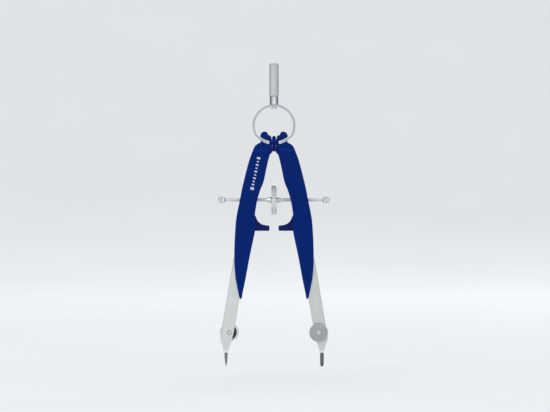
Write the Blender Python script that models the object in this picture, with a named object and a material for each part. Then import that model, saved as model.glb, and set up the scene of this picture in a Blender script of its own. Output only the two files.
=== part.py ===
# Spring-bow drawing compass with a centre wheel, quick-release levers, knee joints and two clamped points.
# Lengths below are in millimetres; x runs across the legs, y from front to back, z upwards.
# Heights are counted from the points' plane, and the model's origin is the middle of the hand grip.
import bpy
import bmesh
from math import sin, cos, tan, radians, pi, sqrt, atan2
from mathutils import Vector, Matrix

# ---------------------------------------------------------------- driving dimensions
MM = 0.001
GRIP_Z = 152.0          # height of the hand grip's middle over the points: the model's origin

HANDLE_R = 2.6          # knurled grip
COLLAR_R = 2.45         # smooth collar below the grip
HANDLE_TOP = 160.6
GRIP_BOTTOM = 143.4
COLLAR_BOTTOM = 138.2
SCREW_R = 0.95
SCREW_HEAD_R = 1.6

RING_Z = 127.6          # centre of the ring spring
RING_R = 10.8           # middle of its band
BAND_T = 1.15
BAND_HALF = 2.2         # half of the band's depth, front to back
RING_TURN = -22.0       # degrees under the horizontal where the round part ends
RING_END = (2.9, 118.75)

FULCRUM_Z = 116.9
FULCRUM_R = 1.0
STRAP_HALF_W = 1.05
STRAP_LOW, STRAP_HIGH = 113.9, 122.2
STRAP_IN, STRAP_OUT = 2.5, 3.15

LEG_HALF = 3.2          # half depth of a leg
HEAD_HALF = 2.2         # half depth of its head, behind the strap
SLOT_HALF = 2.0         # half width of the slots inside a leg

SPINDLE_Z = 88.3
SPINDLE_R = 1.0
SPINDLE_HALF = 28.9     # half length of the threaded rod
NUT_X = 13.25           # where a swivel sits in its leg
SWIVEL_R = 2.4
WHEEL_R = 7.8
WHEEL_HALF = 1.32
HUB_R = 1.6
HUB_HALF = 3.7
CAP_R = 1.85
CAP_IN, CAP_OUT = 26.0, 29.5

LEVER_PIN = (16.1, 83.9)
LEVER_PIN_R = 0.7
LEVER_Y = (0.2, 1.7)    # a lever fills one half of its slot, so the two levers pass each other

KNEE = (18.2, 56.4)
KNEE_PIN_R = 1.2
BAR_TILT = 9.6          # degrees, lower leg from the vertical
BAR_HALF_W = 3.3
BAR_HALF = 1.75         # half depth of a lower leg
TIP_X = 25.4
NOSE_R = 1.35
NOSE_LOW = 7.2
POINT_R = 1.0           # needle shank and lead
CLAMP = (23.6, 18.1)
CLAMP_DISC_R = 5.0
CLAMP_DISC_T = 1.7
CLAMP_SHANK_R = 1.1

GAP = 0.25              # between touching pieces

# ---------------------------------------------------------------- scene start
for old in list(bpy.data.objects):
    bpy.data.objects.remove(old, do_unlink=True)


def material(name, rgb, rough, metal):
    m = bpy.data.materials.new(name)
    m.use_nodes = True
    p = m.node_tree.nodes["Principled BSDF"]
    p.inputs["Base Color"].default_value = (*rgb, 1)
    p.inputs["Roughness"].default_value = rough
    p.inputs["Metallic"].default_value = metal
    return m


BLUE = material("blue_lacquer", (0.003, 0.02, 0.14), 0.38, 0.0)
NICKEL = material("satin_nickel", (0.72, 0.72, 0.70), 0.3, 1.0)
CHROME = material("bright_chrome", (0.8, 0.8, 0.8), 0.12, 1.0)
STEEL = material("steel", (0.5, 0.5, 0.5), 0.35, 1.0)
BRASS = material("brass", (0.6, 0.42, 0.15), 0.35, 1.0)
SPRING = material("spring_steel", (0.62, 0.62, 0.62), 0.2, 1.0)
DARK = material("graphite", (0.06, 0.06, 0.065), 0.45, 0.2)


# ---------------------------------------------------------------- modelling helpers
def finish(name, bm, origin, mat, sharp=32.0):
    """Make an object from a bmesh drawn in millimetres, with its origin at the given point."""
    bmesh.ops.remove_doubles(bm, verts=bm.verts, dist=0.0005)
    bmesh.ops.recalc_face_normals(bm, faces=bm.faces)
    o = Vector(origin)
    for v in bm.verts:
        v.co = (v.co - o) * MM
    mesh = bpy.data.meshes.new(name)
    bm.to_mesh(mesh)
    bm.free()
    mesh.shade_smooth()
    mesh.set_sharp_from_angle(angle=radians(sharp))
    ob = bpy.data.objects.new(name, mesh)
    bpy.context.collection.objects.link(ob)
    ob.location = ((o.x) * MM, (o.y) * MM, (o.z - GRIP_Z) * MM)
    if mat:
        mesh.materials.append(mat)
    return ob


def prism(outline, y0, y1, bm=None):
    """A closed outline in x, z drawn out from y0 to y1."""
    bm = bm or bmesh.new()
    front = [bm.verts.new((x, y0, z)) for x, z in outline]
    face = bm.faces.new(front)
    out = bmesh.ops.extrude_face_region(bm, geom=[face])
    moved = [g for g in out["geom"] if isinstance(g, bmesh.types.BMVert)]
    bmesh.ops.translate(bm, verts=moved, vec=(0, y1 - y0, 0))
    return bm


def turned(profile, axis, centre, steps=28, bm=None):
    """A turned solid: profile is (radius, distance along the axis), from one end to the other."""
    bm = bm or bmesh.new()
    rings = []
    for r, d in profile:
        ring = []
        if r < 1e-6:
            ring = [bm.verts.new(place(axis, centre, 0, 0, d))]
        else:
            for i in range(steps):
                a = 2 * pi * (i + 0.5) / steps
                ring.append(bm.verts.new(place(axis, centre, r * cos(a), r * sin(a), d)))
        rings.append(ring)
    for a, b in zip(rings, rings[1:]):
        for i in range(steps):
            j = (i + 1) % steps
            if len(a) == 1 and len(b) > 1:
                bm.faces.new((a[0], b[i], b[j]))
            elif len(b) == 1 and len(a) > 1:
                bm.faces.new((a[i], a[j], b[0]))
            elif len(a) > 1:
                bm.faces.new((a[i], a[j], b[j], b[i]))
    for ring in (rings[0], rings[-1]):
        if len(ring) > 1:
            bm.faces.new(ring)
    return bm


def place(axis, centre, u, v, d):
    cx, cy, cz = centre
    if axis == "X":
        return (cx + d, cy + u, cz + v)
    if axis == "Y":
        return (cx + u, cy + d, cz + v)
    return (cx + u, cy + v, cz + d)


def cylinder(r, d0, d1, axis, centre, steps=28):
    return turned([(r, d0), (r, d1)], axis, centre, steps)


def box(x0, x1, y0, y1, z0, z1):
    return prism([(x0, z0), (x1, z0), (x1, z1), (x0, z1)], y0, y1)


def smooth_line(points, steps):
    """A Catmull-Rom curve through the points, ends included."""
    pts = [Vector(p) for p in points]
    pts = [2 * pts[0] - pts[1]] + pts + [2 * pts[-1] - pts[-2]]
    out = []
    for i in range(1, len(pts) - 2):
        p0, p1, p2, p3 = pts[i - 1:i + 3]
        for k in range(steps):
            t = k / steps
            q = 0.5 * ((2 * p1) + (p2 - p0) * t + (2 * p0 - 5 * p1 + 4 * p2 - p3) * t * t
                       + (3 * p1 - p0 - 3 * p2 + p3) * t ** 3)
            out.append((q.x, q.y))
    out.append(tuple(pts[-2]))
    return out


def arc(cx, cz, r, a0, a1, n):
    return [(cx + r * cos(radians(a0 + (a1 - a0) * i / n)), cz + r * sin(radians(a0 + (a1 - a0) * i / n)))
            for i in range(n + 1)]


def cutter(name, bm):
    """A guide solid that only shapes other pieces."""
    ob = finish(name, bm, (0, 0, 0), None)
    ob.hide_render = True
    ob.display_type = "WIRE"
    return ob


def boolean(ob, tool, how="DIFFERENCE"):
    m = ob.modifiers.new(tool.name, "BOOLEAN")
    m.operation = how
    m.solver = "EXACT"
    m.object = tool


def bevel(ob, width, segments=2, angle=40.0):
    m = ob.modifiers.new("edge_rounding", "BEVEL")
    m.width = width * MM
    m.segments = segments
    m.limit_method = "ANGLE"
    m.angle_limit = radians(angle)
    m.use_clamp_overlap = True


# ---------------------------------------------------------------- ring spring
def ring_half(n_arc, n_end):
    """Middle line of the right half of the band, from the top of the ring to its seated end."""
    pts = arc(0, RING_Z, RING_R, 90, RING_TURN, n_arc)
    a = radians(RING_TURN)
    p0 = Vector((RING_R * cos(a), RING_Z + RING_R * sin(a)))
    p1 = p0 + 2.2 * Vector((sin(a), -cos(a)))
    p3 = Vector(RING_END)
    p2 = p3 + 2.6 * Vector((0.965, 0.262))
    for i in range(1, n_end + 1):
        t = i / n_end
        q = (1 - t) ** 3 * p0 + 3 * (1 - t) ** 2 * t * p1 + 3 * (1 - t) * t * t * p2 + t ** 3 * p3
        pts.append((q.x, q.y))
    return pts


def offset_line(pts, d):
    """The line moved sideways by d: positive is to the left of its direction."""
    out = []
    for i, p in enumerate(pts):
        a = Vector(pts[max(i - 1, 0)])
        b = Vector(pts[min(i + 1, len(pts) - 1)])
        t = (b - a).normalized()
        out.append((p[0] - t.y * d, p[1] + t.x * d))
    return out


half = ring_half(16, 6)
middle = [(-x, z) for x, z in reversed(half)][:-1] + half
outer = offset_line(middle, BAND_T / 2)
inner = offset_line(middle, -BAND_T / 2)
ring = finish("ring_spring", prism(outer + list(reversed(inner)), -BAND_HALF, BAND_HALF), (0, 0, RING_Z), SPRING)
boolean(ring, cutter("ring_hole_cut", cylinder(1.2, 135, 142, "Z", (0, 0, 0), 20)))

# ---------------------------------------------------------------- handle and its screw
handle_profile = [
    (1.2, COLLAR_BOTTOM), (COLLAR_R - 0.1, COLLAR_BOTTOM), (COLLAR_R, COLLAR_BOTTOM + 0.15),
    (COLLAR_R, GRIP_BOTTOM - 0.5), (COLLAR_R - 0.2, GRIP_BOTTOM - 0.3), (COLLAR_R - 0.2, GRIP_BOTTOM),
    (HANDLE_R - 0.15, GRIP_BOTTOM), (HANDLE_R, GRIP_BOTTOM + 0.2), (HANDLE_R, HANDLE_TOP - 0.5),
    (HANDLE_R - 0.45, HANDLE_TOP), (0, HANDLE_TOP),
]
bore = [(0, 148.2), (0.6, 148.0), (1.2, 147.6)]
handle = finish("handle", turned(bore + handle_profile, "Z", (0, 0, 0), 32), (0, 0, GRIP_Z), NICKEL)
boolean(handle, cutter("saddle_cut", cylinder(RING_R + BAND_T / 2 + GAP, -6, 6, "Y", (0, 0, RING_Z), 96)))

screw_profile = [
    (0, 136.1), (1.0, 136.15), (SCREW_HEAD_R - 0.2, 136.45), (SCREW_HEAD_R, 136.8), (SCREW_HEAD_R, 137.3),
    (SCREW_R, 137.3), (SCREW_R, 147.0), (0, 147.4),
]
finish("handle_screw", turned(screw_profile, "Z", (0, 0, 0), 20), (0, 0, 140), STEEL)

# ---------------------------------------------------------------- fulcrum
strap_outline = arc(0, STRAP_HIGH - STRAP_HALF_W, STRAP_HALF_W, 0, 180, 8) + arc(0, STRAP_LOW + STRAP_HALF_W, STRAP_HALF_W, 180, 360, 8)
for name, sy in (("fulcrum_plate_front", -1), ("fulcrum_plate_back", 1)):
    plate = finish(name, prism(strap_outline, sy * STRAP_IN, sy * STRAP_OUT), (0, 0, FULCRUM_Z), BLUE)
    blind = cutter(name + "_hole", cylinder(0.72, sy * (STRAP_IN - 0.3), sy * (STRAP_OUT - 0.22), "Y", (0, 0, FULCRUM_Z), 16))
    boolean(plate, blind)
finish("fulcrum_pin", turned([(0.6, -STRAP_OUT + 0.35), (0.6, -2.3), (FULCRUM_R, -2.3), (FULCRUM_R, 2.3), (0.6, 2.3),
                              (0.6, STRAP_OUT - 0.35)], "Y", (0, 0, FULCRUM_Z), 24), (0, 0, FULCRUM_Z), STEEL)

# ---------------------------------------------------------------- legs
LEG_OUTER = [(10.8, 115.6), (13.2, 109.0), (15.2, 101.5), (17.1, 93.5), (18.1, 88.0), (19.2, 82.9), (20.1, 77.6),
             (20.7, 69.7), (21.0, 61.7), (21.0, 56.5), (20.75, 51.1), (20.3, 46.5)]
LEG_INNER = [(17.0, 36.6), (16.5, 39.5), (15.2, 45.8), (14.4, 50.1), (12.7, 59.1), (10.15, 71.3), (9.95, 76.0),
             (10.1, 80.3), (9.8, 82.9), (9.35, 85.6), (8.9, 88.2), (8.2, 90.6), (7.2, 93.7), (5.7, 97.3),
             (4.8, 101.0), (4.2, 104.1), (3.1, 109.0), (2.2, 112.2)]


def leg_outline():
    head = [(0.9, 113.7), (0.5, 115.4), (0.38, 116.5), (0.42, 117.4), (0.6, 118.2), (1.65, 122.15), (2.0, 122.4), (2.9, 122.6)]
    lobe = smooth_line([(3.5, 123.9), (4.6, 124.5), (5.9, 124.3), (6.9, 123.4), (7.3, 122.3)], 2)
    shoulder = [(7.3, 120.5), (7.1, 118.75), (8.6, 118.1), (10.0, 117.0)]
    outer = smooth_line(LEG_OUTER, 2)
    tip = [(18.4, 37.0), (17.4, 35.3)]
    inner = smooth_line(LEG_INNER, 2)
    return head + lobe + shoulder + outer + tip + inner


def side(points, s):
    return [(s * x, z) for x, z in points]


def build_leg(label, s):
    """One blue leg: s is +1 for the right leg and -1 for the left."""
    leg = finish(label + "_leg", prism(side(leg_outline(), s), -LEG_HALF, LEG_HALF), (0, 0, FULCRUM_Z), BLUE)
    bevel(leg, 0.35, 2, 50)
    # the head is set back behind the straps, with a sloping step down to it
    for sy, where in ((-1, "front"), (1, "back")):
        bm = bmesh.new()
        section = [(sy * HEAD_HALF, 126.0), (sy * HEAD_HALF, 115.2), (sy * (LEG_HALF + 0.6), 113.0), (sy * (LEG_HALF + 0.6), 126.0)]
        face = bm.faces.new([bm.verts.new((s * -1.0, y, z)) for y, z in section])
        out = bmesh.ops.extrude_face_region(bm, geom=[face])
        bmesh.ops.translate(bm, verts=[g for g in out["geom"] if isinstance(g, bmesh.types.BMVert)], vec=(s * 13.5, 0, 0))
        boolean(leg, cutter(f"{label}_head_cut_{where}", bm))
        y0, y1 = sorted((sy * HEAD_HALF, sy * (LEG_HALF + 1)))
        boolean(leg, cutter(f"{label}_strap_cut_{where}", box(*sorted((s * -1.0, s * 3.2)), y0, y1, 113.25, 125.0)))
    # slot for the ring's end
    line = [p for p in ring_half(16, 10) if p[1] < 124.5]
    line = line + [(RING_END[0] - 0.3, RING_END[1] - 0.08)]
    slot = offset_line(line, BAND_T / 2 + 0.22) + list(reversed(offset_line(line, -BAND_T / 2 - 0.22)))
    boolean(leg, cutter(label + "_ring_slot", prism(side(slot, s), -4, 4)))
    # half socket on the fulcrum pin
    boolean(leg, cutter(label + "_socket", cylinder(FULCRUM_R + 0.15, -4, 4, "Y", (0, 0, FULCRUM_Z), 32)))
    # inner slot that holds swivel, half nut and lever, open towards the other leg
    pocket = [(4.0, 92.6), (15.6, 92.6), (16.9, 88.0), (18.15, 83.5), (18.8, 77.0), (19.0, 69.0), (4.0, 69.0)]
    boolean(leg, cutter(label + "_pocket", prism(side(pocket, s), -SLOT_HALF, SLOT_HALF)))
    # window for the threaded rod in the outer wall, tall enough for the leg's tilt
    boolean(leg, cutter(label + "_rod_window", box(s * 15.0, s * 20.5, -1.45, 1.45, SPINDLE_Z - 2.9, SPINDLE_Z + 2.7)))
    # blind journals for the swivel and the lever pin
    boolean(leg, cutter(label + "_swivel_seat", cylinder(1.5, -2.75, 2.75, "Y", (s * NUT_X, 0, SPINDLE_Z), 24)))
    boolean(leg, cutter(label + "_lever_seat", cylinder(LEVER_PIN_R + 0.15, -2.85, 2.85, "Y", (s * LEVER_PIN[0], 0, LEVER_PIN[1]), 16)))
    # fork for the lower leg, and the knee pin's hole, blind at the front
    fork = arc(KNEE[0], KNEE[1], BAR_HALF_W + 0.6, 0, 180, 14) + [(KNEE[0] - 9, 48.0), (8.0, 30.0), (26.0, 30.0), (25.0, KNEE[1])]
    boolean(leg, cutter(label + "_fork", prism(side(fork, s), -SLOT_HALF, SLOT_HALF)))
    boolean(leg, cutter(label + "_knee_hole", cylinder(KNEE_PIN_R + 0.15, -2.75, 4.2, "Y", (s * KNEE[0], 0, KNEE[1]), 24)))
    return leg


# ---------------------------------------------------------------- pieces inside a leg
def build_inside(label, s, sy):
    """Swivel, half nut, lever, pins and spring. sy picks the half of the slot that the lever fills."""
    swivel = finish(label + "_swivel", turned([(1.3, -2.6), (1.3, -1.8), (SWIVEL_R, -1.8), (SWIVEL_R, 1.8), (1.3, 1.8), (1.3, 2.6)],
                                               "Y", (s * NUT_X, 0, SPINDLE_Z), 24), (s * NUT_X, 0, SPINDLE_Z), BRASS)
    boolean(swivel, cutter(label + "_swivel_bore", cylinder(SPINDLE_R + 0.2, -6, 6, "X", (s * NUT_X, 0, SPINDLE_Z), 24)))
    boolean(swivel, cutter(label + "_swivel_window", box(s * NUT_X - 3, s * NUT_X + 3, -1.15, 1.15, SPINDLE_Z - 4, SPINDLE_Z - 0.02)))

    low = SPINDLE_Z - SPINDLE_R - 0.2
    nut = finish(label + "_half_nut", box(s * NUT_X - 0.8, s * NUT_X + 0.8, -0.85, 0.85, low - 1.55, low + 0.35), (s * NUT_X, 0, low), BRASS)
    boolean(nut, cutter(label + "_half_nut_groove", cylinder(SPINDLE_R + 0.22, -3, 3, "X", (s * NUT_X, 0, SPINDLE_Z), 24)))

    px, pz = LEVER_PIN
    blade = (arc(px, pz, 1.5, -50, 95, 7)
             + [(NUT_X + 1.6, low - 1.8), (NUT_X - 1.3, low - 1.8), (NUT_X - 1.5, low - 3.0), (12.6, 82.9), (11.6, 81.4)]
             + smooth_line([(10.6, 81.0), (9.7, 79.6), (8.6, 77.2), (6.6, 75.5), (4.4, 74.9), (2.7, 74.7)], 2)
             + [(2.4, 74.4), (2.4, 72.3), (2.7, 71.9), (11.2, 71.9), (13.2, 73.2), (15.2, 77.0), (16.6, 80.6)])
    y0, y1 = sorted((sy * LEVER_Y[0], sy * LEVER_Y[1]))
    lever = finish(label + "_release_lever", prism(side(blade, s), y0, y1), (s * px, 0, pz), BLUE)
    bevel(lever, 0.18, 1, 50)
    boolean(lever, cutter(label + "_lever_hole", cylinder(LEVER_PIN_R + 0.12, -3, 3, "Y", (s * px, 0, pz), 16)))
    finish(label + "_lever_pin", cylinder(LEVER_PIN_R, -2.65, 2.65, "Y", (s * px, 0, pz), 16), (s * px, 0, pz), STEEL)

    # torsion spring round the lever pin, in the free half of the slot
    wire, turns, per, sides = 0.17, 3, 12, 5
    r, pitch = 1.1, 0.44
    start = 0.42
    bm = bmesh.new()
    rings = []
    for i in range(turns * per + 1):
        a = 2 * pi * i / per
        c = Vector((px + r * cos(a), -sy * (start + pitch * i / per), pz + r * sin(a)))
        out = Vector((cos(a), 0, sin(a)))
        up = Vector((0, 1, 0))
        rings.append([bm.verts.new(Vector((s * q.x, q.y, q.z))) for q in
                      (c + wire * (cos(2 * pi * k / sides) * out + sin(2 * pi * k / sides) * up) for k in range(sides))])
    for a, b in zip(rings, rings[1:]):
        for k in range(sides):
            bm.faces.new((a[k], a[(k + 1) % sides], b[(k + 1) % sides], b[k]))
    bm.faces.new(rings[0])
    bm.faces.new(rings[-1])
    finish(label + "_lever_spring", bm, (s * px, 0, pz), SPRING)
    finish(label + "_knee_pin", turned([(KNEE_PIN_R, -2.6), (KNEE_PIN_R, 3.1)], "Y", (s * KNEE[0], 0, KNEE[1]), 24),
           (s * KNEE[0], 0, KNEE[1]), STEEL)


# ---------------------------------------------------------------- lower legs
def bar_point(along, across):
    """A point of the lower leg: along is downwards from the knee, across is outwards."""
    t = radians(BAR_TILT)
    return (KNEE[0] + along * sin(t) + across * cos(t), KNEE[1] - along * cos(t) + across * sin(t))


def build_lower(label, s, sy):
    """Lower leg with its split nose. The two are the same piece, one turned round, so sy = s * front side."""
    top = [bar_point(-BAR_HALF_W * sin(radians(a)), BAR_HALF_W * cos(radians(a))) for a in range(0, 181, 12)]
    inner = [bar_point(38.0, -BAR_HALF_W), (22.15, 15.1), (23.2, 11.2), (TIP_X - NOSE_R, 8.6)]
    outer = [(TIP_X + NOSE_R, 8.6), (27.1, 10.6), (28.5, 14.2), bar_point(41.5, BAR_HALF_W), bar_point(38.0, BAR_HALF_W)]
    outline = top + inner + outer
    bar = finish(label + "_lower_leg", prism(side(outline, s), -BAR_HALF, BAR_HALF), (s * KNEE[0], 0, KNEE[1]), NICKEL)
    bevel(bar, 0.3, 2, 50)
    nose = cutter(label + "_nose", turned([(NOSE_R - 0.45, NOSE_LOW), (NOSE_R - 0.1, NOSE_LOW + 0.35), (NOSE_R + 0.05, NOSE_LOW + 1.0),
                                           (NOSE_R, 12.5), (0, 13.6)], "Z", (s * TIP_X, 0, 0), 24))
    boolean(bar, nose, "UNION")
    boolean(bar, cutter(label + "_point_bore", cylinder(POINT_R + 0.13, 5.0, 16.0, "Z", (s * TIP_X, 0, 0), 24)))
    boolean(bar, cutter(label + "_split", box(s * 15.0, s * 32.0, -0.22, 0.22, 5.0, 25.5)))
    boolean(bar, cutter(label + "_clamp_hole", cylinder(CLAMP_SHANK_R + 0.13, -4, 4, "Y", (s * CLAMP[0], 0, CLAMP[1]), 24)))
    boolean(bar, cutter(label + "_bar_knee_hole", cylinder(KNEE_PIN_R + 0.15, -4, 4, "Y", (s * KNEE[0], 0, KNEE[1]), 24)))

    f = -sy  # the side that the thumbscrew's disc is on
    base = BAR_HALF + 0.25
    disc = [(0, f * -(BAR_HALF - 0.15)), (0.75, f * -(BAR_HALF - 0.15)), (CLAMP_SHANK_R, f * -(BAR_HALF - 0.5)), (CLAMP_SHANK_R, f * base),
            (CLAMP_DISC_R - 0.35, f * base), (CLAMP_DISC_R, f * (base + 0.3)), (CLAMP_DISC_R, f * (base + CLAMP_DISC_T - 0.35)),
            (CLAMP_DISC_R - 0.35, f * (base + CLAMP_DISC_T)), (0.85, f * (base + CLAMP_DISC_T)),
            (0.45, f * (base + CLAMP_DISC_T - 0.35)), (0, f * (base + CLAMP_DISC_T - 0.4))]
    finish(label + "_clamp_screw", turned(disc, "Y", (s * CLAMP[0], 0, CLAMP[1]), 40), (s * CLAMP[0], 0, CLAMP[1]), NICKEL)


# ---------------------------------------------------------------- assemble both sides
for label, s in (("left", -1), ("right", 1)):
    build_leg(label, s)
    build_inside(label, s, s)
    build_lower(label, s, s)

# ---------------------------------------------------------------- points
finish("needle", turned([(0, 0.0), (0.14, 0.35), (0.72, 3.0), (0.8, 3.6), (POINT_R, 4.0), (POINT_R, 15.4), (0.75, 15.7)], "Z",
                        (-TIP_X, 0, 0), 20), (-TIP_X, 0, 7.0), STEEL)
finish("lead", turned([(0.35, 0.0), (0.9, 1.2), (POINT_R, 1.5), (POINT_R, 15.6)], "Z", (TIP_X, 0, 0), 20), (TIP_X, 0, 7.0), DARK)

# ---------------------------------------------------------------- threaded rod, wheel and end caps
finish("spindle", turned([(0.7, -SPINDLE_HALF), (SPINDLE_R, -SPINDLE_HALF + 0.3), (SPINDLE_R, SPINDLE_HALF - 0.3), (0.7, SPINDLE_HALF)],
                         "X", (0, 0, SPINDLE_Z), 20), (0, 0, SPINDLE_Z), STEEL)
half_wheel = [(SPINDLE_R + 0.12, HUB_HALF), (HUB_R - 0.4, HUB_HALF), (HUB_R, 1.6), (HUB_R + 0.4, 1.0), (3.2, 0.85), (5.8, 0.85), (6.4, WHEEL_HALF - 0.1),
              (7.0, WHEEL_HALF), (WHEEL_R - 0.35, WHEEL_HALF), (WHEEL_R, 0.75)]
wheel_profile = [(r, -d) for r, d in half_wheel] + [(r, d) for r, d in reversed(half_wheel)]


def turned_ring(profile, axis, centre, steps):
    """A turned solid with a hole: the profile closes on itself."""
    bm = bmesh.new()
    rings = [[bm.verts.new(place(axis, centre, r * cos(2 * pi * i / steps), r * sin(2 * pi * i / steps), d)) for i in range(steps)]
             for r, d in profile]
    for a, b in zip(rings, rings[1:] + rings[:1]):
        for i in range(steps):
            j = (i + 1) % steps
            bm.faces.new((a[i], a[j], b[j], b[i]))
    return bm


finish("centre_wheel", turned_ring(wheel_profile, "X", (0, 0, SPINDLE_Z), 40), (0, 0, SPINDLE_Z), CHROME)
for label, s in (("left", -1), ("right", 1)):
    cap = [(SPINDLE_R + 0.15, s * CAP_IN), (CAP_R - 0.25, s * CAP_IN), (CAP_R, s * (CAP_IN + 0.25)), (CAP_R, s * (CAP_OUT - 0.4)),
           (CAP_R - 0.4, s * CAP_OUT), (0, s * CAP_OUT), (0, s * (SPINDLE_HALF + 0.25)), (SPINDLE_R + 0.15, s * (SPINDLE_HALF + 0.15))]
    bm = bmesh.new()
    steps = 24
    rings = []
    for r, d in cap:
        if r < 1e-6:
            rings.append([bm.verts.new(place("X", (0, 0, SPINDLE_Z), 0, 0, d))])
        else:
            rings.append([bm.verts.new(place("X", (0, 0, SPINDLE_Z), r * cos(2 * pi * i / steps), r * sin(2 * pi * i / steps), d)) for i in range(steps)])
    for a, b in list(zip(rings, rings[1:])) + [(rings[-1], rings[0])]:
        for i in range(steps):
            j = (i + 1) % steps
            if len(a) == 1 and len(b) > 1:
                bm.faces.new((a[0], b[i], b[j]))
            elif len(b) == 1 and len(a) > 1:
                bm.faces.new((a[i], a[j], b[0]))
            elif len(a) > 1 and len(b) > 1:
                bm.faces.new((a[i], a[j], b[j], b[i]))
    finish(label + "_end_cap", bm, (s * CAP_IN, 0, SPINDLE_Z), CHROME)
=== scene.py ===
from math import sin, cos, tan, radians, degrees, pi, sqrt, atan2, acos

import bpy
import bmesh
import numpy as np
from mathutils import Vector, Matrix


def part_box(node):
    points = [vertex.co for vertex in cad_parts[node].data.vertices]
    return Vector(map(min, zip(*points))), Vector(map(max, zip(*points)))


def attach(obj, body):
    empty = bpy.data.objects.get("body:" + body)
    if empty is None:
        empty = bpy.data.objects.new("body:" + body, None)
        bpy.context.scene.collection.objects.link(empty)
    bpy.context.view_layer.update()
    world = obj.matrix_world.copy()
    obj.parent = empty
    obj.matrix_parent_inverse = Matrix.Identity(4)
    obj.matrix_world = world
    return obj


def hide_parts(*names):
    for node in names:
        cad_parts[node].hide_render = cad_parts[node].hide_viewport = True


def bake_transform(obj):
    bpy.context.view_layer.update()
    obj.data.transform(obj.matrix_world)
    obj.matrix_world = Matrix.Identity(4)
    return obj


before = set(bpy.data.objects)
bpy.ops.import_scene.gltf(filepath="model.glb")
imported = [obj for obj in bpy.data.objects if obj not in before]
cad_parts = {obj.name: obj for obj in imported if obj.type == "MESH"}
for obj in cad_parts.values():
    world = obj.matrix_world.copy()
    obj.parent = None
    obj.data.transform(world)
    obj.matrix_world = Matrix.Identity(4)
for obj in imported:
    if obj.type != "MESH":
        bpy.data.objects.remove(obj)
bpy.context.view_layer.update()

# Lengths below are millimetres. Heights are counted from the points' plane; the row frame's origin is the hand grip.
MM = 0.001


def mid(node, k):
    lo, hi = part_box(node)
    return (lo[k] + hi[k]) / 2 / MM


def size(node, k):
    lo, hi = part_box(node)
    return (hi[k] - lo[k]) / MM


ORIGIN_Z = round(-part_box("needle")[0].z / MM, 2)      # the grip's middle over the points

HANDLE_R = size("handle", 0) / 2
COLLAR_R = HANDLE_R - 0.15
HANDLE_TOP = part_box("handle")[1].z / MM + ORIGIN_Z
GRIP_BOTTOM = 143.4
COLLAR_BOTTOM = 138.2
SCREW_R, SCREW_HEAD_R = 0.95, size("handle_screw", 0) / 2

RING_Z, RING_R, BAND_T = 127.6, 10.8, 1.15
BAND_HALF = size("ring_spring", 1) / 2
RING_TURN = -22.0
RING_END = (2.9, 118.75)

FULCRUM_Z = mid("fulcrum_pin", 2) + ORIGIN_Z
FULCRUM_R = 1.0
STRAP_HALF_W = size("fulcrum_plate_front", 0) / 2
STRAP_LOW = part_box("fulcrum_plate_front")[0].z / MM + ORIGIN_Z
STRAP_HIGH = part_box("fulcrum_plate_front")[1].z / MM + ORIGIN_Z
STRAP_OUT = -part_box("fulcrum_plate_front")[0].y / MM
STRAP_IN = -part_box("fulcrum_plate_front")[1].y / MM

LEG_HALF = size("right_leg", 1) / 2
HEAD_HALF = 2.2
SLOT_HALF = 2.0

SPINDLE_Z = mid("spindle", 2) + ORIGIN_Z
SPINDLE_R = size("spindle", 2) / 2
SPINDLE_HALF = size("spindle", 0) / 2
NUT_X = mid("right_swivel", 0)
SWIVEL_R = size("right_swivel", 0) / 2
WHEEL_R = size("centre_wheel", 2) / 2
WHEEL_HALF = 1.32
HUB_HALF = size("centre_wheel", 0) / 2
CAP_R = size("right_end_cap", 2) / 2
CAP_IN, CAP_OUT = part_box("right_end_cap")[0].x / MM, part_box("right_end_cap")[1].x / MM

LEVER_PIN = (mid("right_lever_pin", 0), mid("right_lever_pin", 2) + ORIGIN_Z)
LEVER_PIN_R = 0.7
LEVER_Y = (0.2, 1.7)

KNEE = (mid("right_knee_pin", 0), mid("right_knee_pin", 2) + ORIGIN_Z)
KNEE_PIN_R = 1.2
BAR_TILT = 9.6
BAR_HALF_W, BAR_HALF = 3.3, 1.75
TIP_X = mid("lead", 0)
NOSE_R, NOSE_LOW = 1.35, 7.2
POINT_R = size("lead", 0) / 2
CLAMP = (mid("right_clamp_screw", 0), mid("right_clamp_screw", 2) + ORIGIN_Z)
CLAMP_DISC_R = size("right_clamp_screw", 0) / 2
CLAMP_DISC_T = 1.7
CLAMP_SHANK_R = 1.1

FLOOR_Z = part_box("needle")[0].z - 0.0063      # just clear of the points at every pose


# ------------------------------------------------------------------ materials
def new_material(name):
    m = bpy.data.materials.new(name)
    m.use_nodes = True
    nt = m.node_tree
    bsdf = nt.nodes["Principled BSDF"]
    return m, nt, bsdf


def node(nt, kind, **values):
    n = nt.nodes.new(kind)
    for k, v in values.items():
        if k.startswith("in_"):
            key = k[3:]
            n.inputs[int(key) if key.isdigit() else key.replace("_", " ")].default_value = v
        else:
            setattr(n, k, v)
    return n


def coords(nt, scale=(1, 1, 1), rotation=(0, 0, 0)):
    tc = node(nt, "ShaderNodeTexCoord")
    mp = node(nt, "ShaderNodeMapping")
    mp.inputs["Scale"].default_value = scale
    mp.inputs["Rotation"].default_value = rotation
    nt.links.new(tc.outputs["Object"], mp.inputs["Vector"])
    return mp.outputs["Vector"]


def noise(nt, vector, scale, detail=4.0, rough=0.55, distortion=0.0):
    n = node(nt, "ShaderNodeTexNoise")
    n.inputs["Scale"].default_value = scale
    n.inputs["Detail"].default_value = detail
    n.inputs["Roughness"].default_value = rough
    n.inputs["Distortion"].default_value = distortion
    nt.links.new(vector, n.inputs["Vector"])
    return n.outputs["Fac"]


def ranged(nt, value, lo, hi, to_lo, to_hi):
    n = node(nt, "ShaderNodeMapRange")
    n.inputs["From Min"].default_value = lo
    n.inputs["From Max"].default_value = hi
    n.inputs["To Min"].default_value = to_lo
    n.inputs["To Max"].default_value = to_hi
    nt.links.new(value, n.inputs["Value"])
    return n.outputs["Result"]


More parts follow.
